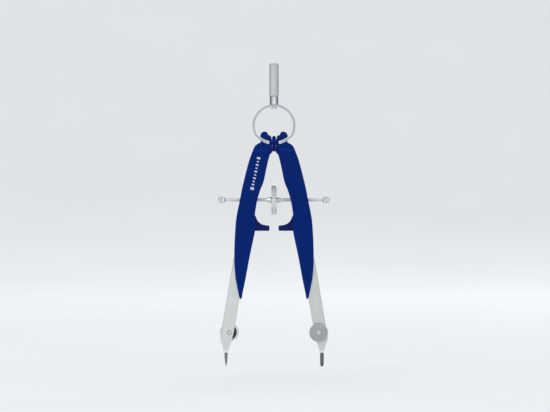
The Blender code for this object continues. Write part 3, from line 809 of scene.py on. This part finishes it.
def build_legs():
    outline = leg_outline()
    body = to_object("right_leg", slab(outline, -LEG_HALF, LEG_HALF, 0.42, 5), M_BLUE)
    for sy in (-1, 1):
        bm = bmesh.new()
        section = [(sy * HEAD_HALF, 126.0), (sy * HEAD_HALF, 115.2), (sy * (LEG_HALF + 0.6), 113.0), (sy * (LEG_HALF + 0.6), 126.0)]
        a = [bm.verts.new((-1.0, y, z)) for y, z in section]
        b = [bm.verts.new((12.5, y, z)) for y, z in section]
        for i in range(4):
            bm.faces.new((a[i], a[(i + 1) % 4], b[(i + 1) % 4], b[i]))
        bm.faces.new(a)
        bm.faces.new(b)
        cut(body, bm)
        y0, y1 = sorted((sy * HEAD_HALF, sy * (LEG_HALF + 1)))
        cut(body, block(-1.0, 3.2, y0, y1, 113.25, 125.0))
    # only the part below the step keeps the full depth; the head is its own rounded plate, joined on
    cut(body, block(-2, 14, -5, 5, 115.25, 127))
    head_outline = [p for p in inset(tidy(outline), 0.012)]
    keep = to_object("head", slab(head_outline, -HEAD_HALF + 0.005, HEAD_HALF - 0.005, 0.24, 4))
    cut(keep, block(-2, 30, -5, 5, 20, 113.6))
    baked_keep = baked_with(keep, body)
    ob = baked_keep
    line = [p for p in ring_half(40, 24) if p[1] < 124.5]
    line = line + [(RING_END[0] - 0.3, RING_END[1] - 0.08)]
    slot = offset_line(line, BAND_T / 2 + 0.2) + list(reversed(offset_line(line, -BAND_T / 2 - 0.2)))
    cut(ob, slab(slot, -4, 4))
    cut(ob, cylinder(FULCRUM_R + 0.15, -4, 4, "Y", (0, 0, FULCRUM_Z), 48))
    pocket = [(4.0, 92.6), (15.6, 92.6), (16.9, 88.0), (18.15, 83.5), (18.8, 77.0), (19.0, 69.0), (4.0, 69.0)]
    cut(ob, slab(pocket, -SLOT_HALF, SLOT_HALF))
    cut(ob, block(15.0, 20.5, -1.45, 1.45, SPINDLE_Z - 2.9, SPINDLE_Z + 2.7))
    cut(ob, cylinder(1.5, -2.75, 2.75, "Y", (NUT_X, 0, SPINDLE_Z), 36))
    cut(ob, cylinder(LEVER_PIN_R + 0.15, -2.85, 2.85, "Y", (LEVER_PIN[0], 0, LEVER_PIN[1]), 28))
    fork = arc(KNEE[0], KNEE[1], BAR_HALF_W + 0.6, 0, 180, 36) + [(KNEE[0] - 9, 48.0), (8.0, 30.0), (26.0, 30.0), (25.0, KNEE[1])]
    cut(ob, slab(fork, -SLOT_HALF, SLOT_HALF))
    cut(ob, cylinder(KNEE_PIN_R + 0.1, -2.75, 4.2, "Y", (KNEE[0], 0, KNEE[1]), 40))
    baked(ob)
    ob.data.materials.clear()
    ob.data.materials.append(M_BLUE)
    other = mirrored(ob, "left_leg")
    for o, label in ((ob, "right"), (other, "left")):
        shade(o)
        # the sloping step faces take the lighter blue: painted highlight
        finish_where(o, M_PAINTED_HIGHLIGHT_STEP, lambda x, y, z: 113.3 < z < 115.2 and HEAD_HALF + 0.02 < abs(y) < LEG_HALF - 0.02 and 2.6 < abs(x) < 11.0)
        fit(o, label + "_leg", [label + "_leg"])


def baked_with(keep, body):
    """Bakes two solids that each carry their own cuts, then joins them into one."""
    dg = bpy.context.evaluated_depsgraph_get()
    made = []
    for o in (body, keep):
        mesh = bpy.data.meshes.new_from_object(o.evaluated_get(dg))
        made.append(mesh)
    for o, mesh in zip((body, keep), made):
        o.modifiers.clear()
        old = o.data
        o.data = mesh
        bpy.data.meshes.remove(old)
    for c in cutters:
        me = c.data
        bpy.data.objects.remove(c, do_unlink=True)
        bpy.data.meshes.remove(me)
    cutters.clear()
    m = body.modifiers.new("join", "BOOLEAN")
    m.operation = "UNION"
    m.solver = "EXACT"
    m.object = keep
    cutters.append(keep)
    return body


build_legs()


def build_marks():
    """A plain row of printed dashes on the left leg's face, with no letters in it."""
    top, low = Vector((-8.0, 110.9)), Vector((-11.7, 93.6))
    along = (low - top).normalized()
    across = Vector((-along.y, along.x))
    widths = [1.1, 0.6, 0.85, 0.6, 0.95, 0.6, 0.85, 0.6, 0.7, 1.5]
    gap = ((low - top).length - sum(widths)) / (len(widths) - 1)
    bm, at_ = bmesh.new(), 0.0
    for k, w in enumerate(widths):
        half = 0.92 if k in (0, 9) else (0.74 if k % 2 == 0 else 0.60)
        a, b = top + along * at_, top + along * (at_ + w)
        corners = [a - across * half, a + across * half, b + across * half, b - across * half]
        outline = filleted([(p.x, p.y, 0.22) for p in corners], 4)
        part = slab(outline, -LEG_HALF - 0.035, -LEG_HALF + 0.02, 0.012, 2, 0.0)
        me = bpy.data.meshes.new("part")
        part.to_mesh(me)
        part.free()
        bm.from_mesh(me)
        bpy.data.meshes.remove(me)
        at_ += w + gap
    ob = to_object("left_leg_printed_marks", bm, M_PRINT)
    shade(ob, 40, False)
    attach(ob, "left_leg")


build_marks()


# ------------------------------------------------------------------ inside a leg
def build_inside():
    profile = filleted([(1.3, -2.6), (1.3, -1.8), (SWIVEL_R, -1.8, 0.15), (SWIVEL_R, 1.8, 0.15), (1.3, 1.8), (1.3, 2.6)], 4, False)
    swivel = to_object("right_swivel", lathe(profile, "Y", (NUT_X, 0, SPINDLE_Z), 56), M_BRASS)
    cut(swivel, cylinder(SPINDLE_R + 0.16, -6, 6, "X", (NUT_X, 0, SPINDLE_Z), 40))
    cut(swivel, block(NUT_X - 3, NUT_X + 3, -1.15, 1.15, SPINDLE_Z - 4, SPINDLE_Z - 0.02))
    baked(swivel)
    low = SPINDLE_Z - SPINDLE_R - 0.2
    outline = filleted([(NUT_X - 0.8, low - 1.55, 0.15), (NUT_X + 0.8, low - 1.55, 0.15), (NUT_X + 0.8, low + 0.35, 0.05), (NUT_X - 0.8, low + 0.35, 0.05)], 3)
    nut = to_object("right_half_nut", slab(outline, -0.85, 0.85, 0.1, 3), M_BRASS)
    cut(nut, lathe([(SPINDLE_R + 0.27 + 0.06 * (k % 2), -1.4 + 0.25 * k) for k in range(12)], "X", (NUT_X, 0, SPINDLE_Z), 40))
    baked(nut)

    px, pz = LEVER_PIN
    blade = (arc(px, pz, 1.5, -50, 95, 18)
             + [(NUT_X + 1.6, low - 1.8, 0.2), (NUT_X - 1.3, low - 1.8, 0.3), (NUT_X - 1.5, low - 3.0, 0.5), (12.6, 82.9, 0.6), (11.6, 81.4, 0.6)]
             + catmull([(10.6, 81.0), (9.7, 79.6), (8.6, 77.2), (6.6, 75.5), (4.4, 74.9), (2.7, 74.7)], 8)
             + [(2.4, 74.4, 0.25), (2.4, 72.3, 0.25), (2.7, 71.9, 0.25), (11.2, 71.9, 1.2), (13.2, 73.2, 1.2), (15.2, 77.0, 1.5), (16.6, 80.6, 1.5)])
    lever = to_object("right_release_lever", slab(filleted(blade, 5), LEVER_Y[0], LEVER_Y[1], 0.2, 4), M_LEVER)
    cut(lever, cylinder(LEVER_PIN_R + 0.06, -3, 3, "Y", (px, 0, pz), 32))
    baked(lever)
    pin = to_object("right_lever_pin", lathe(filleted([(0, -2.7), (LEVER_PIN_R, -2.7, 0.1), (LEVER_PIN_R, 2.7, 0.1), (0, 2.7)], 4, False), "Y", (px, 0, pz), 36), M_STEEL)

    # torsion spring round the lever pin with its two short arms
    wire, turns, per = 0.17, 3, 28
    r, pitch, start = 1.1, 0.44, 0.42
    pts = []
    for k in range(6, 0, -1):
        pts.append(Vector((px + r, -start, pz - 0.28 * k)))
    for i in range(turns * per + 1):
        a = 2 * pi * i / per
        pts.append(Vector((px + r * cos(a), -(start + pitch * i / per), pz + r * sin(a))))
    end = pts[-1]
    for k in range(1, 6):
        pts.append(end + Vector((-0.02 * k, 0, 0.26 * k)))
    spring = to_object("right_lever_spring", tube(pts, wire, 10), M_SPRING)

    knee = filleted([(0, -2.65), (KNEE_PIN_R, -2.65, 0.1), (KNEE_PIN_R, 3.08, 0.14), (0.0, 3.12)], 4, False)
    knee_pin = to_object("right_knee_pin", lathe(knee, "Y", (KNEE[0], 0, KNEE[1]), 48), M_STEEL)
    cut(knee_pin, block(KNEE[0] - 0.17, KNEE[0] + 0.17, 2.65, 3.4, KNEE[1] - 2, KNEE[1] + 2))
    baked(knee_pin)

    for ob, body, slot in ((swivel, "swivel", "brass"), (nut, "release_lever", "brass"), (lever, "release_lever", "blue_plastic"),
                           (pin, "leg", "steel"), (spring, "leg", "spring_steel"), (knee_pin, "leg", "steel")):
        label = ob.name.replace("right_", "").replace("_detailed", "")
        other = mirrored(ob, "left_" + label)
        if label in ("release_lever", "lever_spring"):
            # the left one lies in the other half of the slot
            other.data.transform(Matrix.Scale(-1, 4, (0, 1, 0)))
            other.data.flip_normals()
        for o, s in ((ob, "right"), (other, "left")):
            shade(o)
            bodies = {"swivel": s + "_swivel", "release_lever": s + "_lever", "leg": s + "_leg"}
            fit(o, bodies[body], [s + "_" + label])


build_inside()


# ------------------------------------------------------------------ lower legs and their clamps
def bar_point(along, across):
    t = radians(BAR_TILT)
    return (KNEE[0] + along * sin(t) + across * cos(t), KNEE[1] - along * cos(t) + across * sin(t))


def build_lower():
    top = [bar_point(-BAR_HALF_W * sin(radians(a)), BAR_HALF_W * cos(radians(a))) for a in range(0, 181, 5)]
    p = bar_point(38.0, -BAR_HALF_W)
    q = bar_point(41.5, BAR_HALF_W)
    q0 = bar_point(38.0, BAR_HALF_W)
    inner = [(p[0], p[1], 3.0), (22.15, 15.1, 2.5), (23.2, 11.2, 4.0), (TIP_X - NOSE_R, 8.6, 0.3)]
    outer = [(TIP_X + NOSE_R, 8.6, 0.3), (27.1, 10.6, 3.0), (28.5, 14.2, 3.0), (q[0], q[1], 3.0), (q0[0], q0[1])]
    bar = to_object("right_lower_leg", slab(filleted(top + inner + outer, 6), -BAR_HALF, BAR_HALF, 0.42, 5), M_SATIN)
    nose = filleted([(0, NOSE_LOW), (NOSE_R - 0.35, NOSE_LOW, 0.12), (NOSE_R - 0.08, NOSE_LOW + 0.5, 0.4), (NOSE_R + 0.1, NOSE_LOW + 1.3, 0.8), (NOSE_R, 12.0, 1.0), (0.6, 13.4), (0, 13.6)], 5, False)
    cut(bar, lathe(nose, "Z", (TIP_X, 0, 0), 48), "UNION")
    cut(bar, cylinder(POINT_R + 0.1, 5.0, 16.0, "Z", (TIP_X, 0, 0), 40))
    cut(bar, block(15.0, 32.0, -0.2, 0.2, 5.0, 25.5))
    cut(bar, cylinder(CLAMP_SHANK_R + 0.1, -4, 4, "Y", (CLAMP[0], 0, CLAMP[1]), 40))
    cut(bar, cylinder(KNEE_PIN_R + 0.1, -4, 4, "Y", (KNEE[0], 0, KNEE[1]), 40))
    baked(bar)
    # the left bar takes the lighter copy of the nickel: painted light
    other = mirrored(bar, "left_lower_leg", M_SATIN_PAINTED_LIGHT_LEFT)
    for o, s in ((bar, "right"), (other, "left")):
        shade(o)
        finish_where(o, M_NOSE, lambda x, y, z: z < 9.35 and sqrt((abs(x) - TIP_X) ** 2 + y * y) < NOSE_R + 0.3)
        fit(o, s + "_lower_leg", [s + "_lower_leg"])

    base = BAR_HALF + 0.25
    teeth = 72

    def serrated(a, r, d):
        rim = min(max((r - (CLAMP_DISC_R - 0.25)) / 0.22, 0.0), 1.0)
        return -0.13 * rim * abs(((a * teeth / (2 * pi)) % 1.0) * 2 - 1)

    for s, f, mat in (("right", -1, M_DISC_R), ("left", 1, M_DISC_L)):
        sx = 1 if s == "right" else -1
        profile = [(0, -(BAR_HALF - 0.1)), (CLAMP_SHANK_R - 0.12, -(BAR_HALF - 0.1), 0.04), (CLAMP_SHANK_R, -(BAR_HALF - 0.24), 0.05), (CLAMP_SHANK_R, base, 0.05),
                   (1.75, base, 0.08), (2.1, base + 0.6, 0.2), (CLAMP_DISC_R - 1.4, base + 0.6, 0.2), (CLAMP_DISC_R - 1.15, base, 0.08),
                   (CLAMP_DISC_R - 0.3, base, 0.1), (CLAMP_DISC_R, base + 0.3, 0.12), (CLAMP_DISC_R, base + CLAMP_DISC_T - 0.3, 0.12),
                   (CLAMP_DISC_R - 0.3, base + CLAMP_DISC_T, 0.1), (1.15, base + CLAMP_DISC_T, 0.12), (0.75, base + CLAMP_DISC_T - 0.35, 0.3),
                   (0.0, base + CLAMP_DISC_T - 0.42)]
        pts = [(r, f * d) for r, d in filleted(profile, 4, False)]
        # rings across the face so that its lathe lines and the flutes meet cleanly
        ob = to_object(s + "_clamp_screw", lathe(pts, "Y", (sx * CLAMP[0], 0, CLAMP[1]), teeth * 4, serrated), mat)
        shade(ob, 40)
        cx = sx * CLAMP[0]

        def out(x, z):
            return sqrt((x - cx) ** 2 + (z - CLAMP[1]) ** 2)

        finish_where(ob, M_DIMPLE, lambda x, y, z: out(x, z) < 1.1 and f * y > base + CLAMP_DISC_T - 0.6)
        # the recessed underside facing the bar is darkened: painted shade
        finish_where(ob, M_PAINTED_SHADE_UNDER, lambda x, y, z: CLAMP_SHANK_R + 0.05 < out(x, z) < CLAMP_DISC_R - 1.2 and f * y < base + 0.7)
        # the underside rim takes the lighter finish: painted highlight
        finish_where(ob, M_PAINTED_HIGHLIGHT_RIM, lambda x, y, z: out(x, z) > CLAMP_DISC_R - 1.2 and f * y < base + 0.25)
        finish_where(ob, M_SATIN, lambda x, y, z: out(x, z) < CLAMP_SHANK_R and f * y < -(BAR_HALF - 0.6))
        fit(ob, s + "_clamp_screw", [s + "_clamp_screw"])


build_lower()


def build_points():
    needle = filleted([(0, 0.0), (0.1, 0.12, 0.1), (0.58, 2.4, 1.5), (0.82, 5.0, 1.5), (0.84, 6.5, 0.3), (0.86, 6.75, 0.05), (POINT_R, 6.95, 0.1), (POINT_R, 15.4, 0.1),
                       (0.75, 15.7, 0.05), (0, 15.7)], 4, False)
    ob = to_object("needle", lathe(needle, "Z", (-TIP_X, 0, 0), 48), M_NEEDLE)
    shade(ob)
    fit(ob, "needle", ["needle"])
    lead = filleted([(0, 0.0), (0.45, 0.04, 0.1), (0.86, 0.75, 0.3), (POINT_R, 1.35, 0.4), (POINT_R, 15.6, 0.05), (0, 15.6)], 4, False)
    ob = to_object("lead", lathe(lead, "Z", (TIP_X, 0, 0), 48), M_LEAD)
    shade(ob)
    fit(ob, "lead", ["lead"])


build_points()


# ------------------------------------------------------------------ threaded rod, wheel, end caps
def build_rod():
    pitch, starts, depth, per = 0.5, 2, 0.15, 6
    plain = HUB_HALF + 0.2
    steps = 32
    bm = bmesh.new()

    def radius(a, x):
        ax = abs(x)
        if ax < plain or ax > SPINDLE_HALF - 0.25:
            return SPINDLE_R - 0.02
        run = min((ax - plain) / 0.6, 1.0)
        hand = 1 if x > 0 else -1
        t = (x / pitch * 1.0 - hand * starts * a / (2 * pi)) % 1.0
        tooth = min(max((1.0 - abs(2 * t - 1)) * 1.35 - 0.12, 0.0), 1.0)
        return SPINDLE_R - depth * run * (1.0 - tooth)

    n = int(2 * SPINDLE_HALF / (pitch / per))
    xs = [-SPINDLE_HALF + 0.12 + (2 * SPINDLE_HALF - 0.24) * i / n for i in range(n + 1)]
    rings = [[bm.verts.new((x, radius(2 * pi * k / steps, x) * cos(2 * pi * k / steps), SPINDLE_Z + radius(2 * pi * k / steps, x) * sin(2 * pi * k / steps)))
              for k in range(steps)] for x in xs]
    for a, b in zip(rings, rings[1:]):
        for k in range(steps):
            bm.faces.new((a[k], a[(k + 1) % steps], b[(k + 1) % steps], b[k]))
    for x, ring in ((-SPINDLE_HALF, rings[0]), (SPINDLE_HALF, rings[-1])):
        cap = [bm.verts.new((x, 0.75 * cos(2 * pi * k / steps), SPINDLE_Z + 0.75 * sin(2 * pi * k / steps))) for k in range(steps)]
        for k in range(steps):
            bm.faces.new((ring[k], ring[(k + 1) % steps], cap[(k + 1) % steps], cap[k]))
        bm.faces.new(cap)
    ob = to_object("spindle", bm, M_THREAD)
    shade(ob, 60, False, (30, 60))
    fit(ob, "spindle", ["spindle"])

    teeth = 60

    def crown(a, r, d):
        rim = min(max((r - (WHEEL_R - 0.28)) / 0.22, 0.0), 1.0)
        return -0.2 * rim * abs(((a * teeth / (2 * pi)) % 1.0) * 2 - 1) ** 1.5

    half = [(SPINDLE_R + 0.03, HUB_HALF), (HUB_R_ - 0.35, HUB_HALF, 0.1), (HUB_R_, 1.7, 0.4), (HUB_R_ + 0.5, 0.95, 0.3), (3.2, 0.85, 1.0), (5.8, 0.85, 0.4),
            (6.35, WHEEL_HALF - 0.06, 0.2), (7.0, WHEEL_HALF, 1.0), (WHEEL_R - 0.32, WHEEL_HALF, 0.12), (WHEEL_R, 0.85, 0.2)]
    profile = [(p[0], -p[1], *p[2:]) for p in half] + [(WHEEL_R, 0.0)] + list(reversed(half))
    pts = filleted(profile, 4, False)
    ob = to_object("centre_wheel", lathe(pts, "X", (0, 0, SPINDLE_Z), teeth * 4, crown, True), M_WHEEL)
    shade(ob, 40)
    fit(ob, "spindle", ["centre_wheel"])

    flutes = 18

    def fluted(a, r, d):
        x = abs(d)
        rim = min(max((r - (CAP_R - 0.2)) / 0.15, 0.0), 1.0) * min(max((x - CAP_IN - 0.3) / 0.1, 0.0), 1.0) * min(max((CAP_OUT - 0.55 - x) / 0.1, 0.0), 1.0)
        return -0.14 * rim * abs(((a * flutes / (2 * pi)) % 1.0) * 2 - 1) ** 2

    middle = (CAP_IN + CAP_OUT) / 2
    for s, label in ((-1, "left"), (1, "right")):
        outer = [(SPINDLE_R + 0.05, CAP_IN), (CAP_R - 0.2, CAP_IN, 0.08), (CAP_R, CAP_IN + 0.22, 0.1), (CAP_R, CAP_IN + 0.3), (CAP_R, CAP_IN + 0.4),
                 (CAP_R, middle - 0.35), (CAP_R, middle - 0.22, 0.04), (CAP_R - 0.25, middle - 0.12, 0.06), (CAP_R - 0.25, middle + 0.12, 0.06), (CAP_R, middle + 0.22, 0.04),
                 (CAP_R, middle + 0.35), (CAP_R, CAP_OUT - 0.65), (CAP_R, CAP_OUT - 0.55), (CAP_R, CAP_OUT - 0.42, 0.12), (CAP_R - 0.35, CAP_OUT, 0.12), (0.5, CAP_OUT, 0.1),
                 (0.3, CAP_OUT - 0.2, 0.05), (0, CAP_OUT - 0.25)]
        inner = [(0, SPINDLE_HALF + 0.25), (SPINDLE_R + 0.05, SPINDLE_HALF + 0.15)]
        bm = bmesh.new()
        pts = [(r, s * d) for r, d in filleted(outer, 4, False)]
        back = [(r, s * d) for r, d in inner]
        lathe(pts, "X", (0, 0, SPINDLE_Z), flutes * 6, fluted, False, bm)
        # the blind bore that the rod's end sits in
        ob = to_object(label + "_end_cap", bm, M_CAP)
        cut(ob, cylinder(SPINDLE_R + 0.05, min(s * (CAP_IN - 1), s * (SPINDLE_HALF + 0.15)), max(s * (CAP_IN - 1), s * (SPINDLE_HALF + 0.15)), "X", (0, 0, SPINDLE_Z), 40))
        baked(ob)
        shade(ob, 40)
        fit(ob, "end_caps", [label + "_end_cap"])


HUB_R_ = 1.6
build_rod()


# ------------------------------------------------------------------ stage, light and camera
def build_stage():
    """A pale floor that curves up into a low wall all round, so that every view has the same plain ground."""
    flat, bend = 1.75, 2.3
    profile = [(0.0, 0.0)] + [(flat * k / 6, 0.0) for k in range(1, 7)]
    profile += [(flat + bend * sin(radians(a)), bend * (1 - cos(radians(a)))) for a in range(4, 73, 4)]
    steps = 96
    bm = bmesh.new()
    rings = []
    for r, z in profile:
        if r == 0:
            rings.append([bm.verts.new((0, 0, FLOOR_Z))])
        else:
            rings.append([bm.verts.new((r * cos(2 * pi * i / steps), r * sin(2 * pi * i / steps), FLOOR_Z + z)) for i in range(steps)])
    for a, b in zip(rings, rings[1:]):
        for i in range(steps):
            j = (i + 1) % steps
            if len(a) == 1:
                bm.faces.new((a[0], b[i], b[j]))
            else:
                bm.faces.new((a[i], a[j], b[j], b[i]))
    bmesh.ops.recalc_face_normals(bm, faces=bm.faces)
    for f in bm.faces:
        if f.normal.z < 0 or (abs(f.normal.z) < 0.2 and f.normal.dot(Vector((f.calc_center_median().x, f.calc_center_median().y, 0))) > 0):
            f.normal_flip()
    mesh = bpy.data.meshes.new("floor")
    bm.to_mesh(mesh)
    bm.free()
    mesh.shade_smooth()
    ob = bpy.data.objects.new("floor", mesh)
    bpy.context.scene.collection.objects.link(ob)
    m, nt, b = new_material("pale_floor")
    v = coords(nt)
    n = noise(nt, v, 7.0, 4.0, 0.5)
    nt.links.new(mixed(nt, ranged(nt, n, 0.3, 0.7, 0.0, 1.0), (0.875, 0.88, 0.89), (0.895, 0.90, 0.91)), b.inputs["Base Color"])
    b.inputs["Roughness"].default_value = 0.85
    b.inputs["Specular IOR Level"].default_value = 0.15
    mesh.materials.append(m)


def area(name, where, aim, w, h, radiance, colour=(1, 1, 1)):
    light = bpy.data.lights.new(name, "AREA")
    light.shape = "RECTANGLE"
    light.size, light.size_y = w, h
    light.energy = radiance * pi * w * h
    light.color = colour
    ob = bpy.data.objects.new(name, light)
    bpy.context.scene.collection.objects.link(ob)
    ob.location = where
    ob.rotation_mode = "QUATERNION"
    ob.rotation_quaternion = (Vector(aim) - Vector(where)).to_track_quat("-Z", "Y")
    ob.visible_camera = False
    return ob


def dark_card(name, corners, tone):
    """A dark board seen only in reflections, as beside a product on a studio table."""
    mesh = bpy.data.meshes.new(name)
    mesh.from_pydata(corners, [], [(0, 1, 2, 3)])
    m, nt, b = new_material(name)
    n = noise(nt, coords(nt), 3.0, 2.0, 0.5)
    nt.links.new(mixed(nt, n, tuple(c * 0.9 for c in tone), tuple(c * 1.1 for c in tone)), b.inputs["Base Color"])
    b.inputs["Roughness"].default_value = 0.9
    mesh.materials.append(m)
    ob = bpy.data.objects.new(name, mesh)
    bpy.context.scene.collection.objects.link(ob)
    ob.visible_camera = False
    ob.visible_diffuse = False
    ob.visible_shadow = False
    ob.visible_transmission = False
    ob.visible_volume_scatter = False
    return ob


def build_light():
    centre = Vector((0, 0, -0.07))
    area("front_softbox", (0.0, -1.9, 0.10), centre, 1.5, 1.2, 0.32)
    area("key_softbox", (-0.75, -1.15, 0.95), centre, 0.75, 0.75, 2.0, (1.0, 0.99, 0.97))
    area("back_softbox", (0.5, 1.7, 0.9), centre, 1.2, 0.8, 1.5, (0.97, 0.985, 1.0))
    world = bpy.data.worlds.new("studio")
    world.use_nodes = True
    bg = world.node_tree.nodes["Background"]
    bg.inputs["Color"].default_value = (0.97, 0.985, 1.0, 1)
    bg.inputs["Strength"].default_value = 0.88
    bpy.context.scene.world = world
    for s in (-1, 1):
        x = s * 1.0
        dark_card("side_card_" + ("left" if s < 0 else "right"),
                  [(x, -0.42, -0.06), (x, 0.50, -0.06), (x, 0.50, 0.42), (x, -0.42, 0.42)], (0.10, 0.105, 0.12))
    dark_card("top_card", [(-0.6, -0.30, 0.9), (0.6, -0.30, 0.9), (0.6, 0.25, 0.9), (-0.6, 0.25, 0.9)], (0.10, 0.105, 0.12))


def build_camera():
    cam = bpy.data.cameras.new("camera")
    cam.lens = 200.0
    cam.sensor_width = 36.0
    cam.clip_start, cam.clip_end = 0.05, 20.0
    ob = bpy.data.objects.new("camera", cam)
    bpy.context.scene.collection.objects.link(ob)
    across = 550 * 0.53 * MM
    distance = across / (cam.sensor_width / cam.lens)
    ob.location = (0.53 * MM, -distance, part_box("needle")[0].z + 85.07 * MM)
    ob.rotation_euler = (radians(90), 0, 0)
    bpy.context.scene.camera = ob


build_stage()
build_light()
build_camera()
bpy.context.scene.view_settings.view_transform = "Standard"
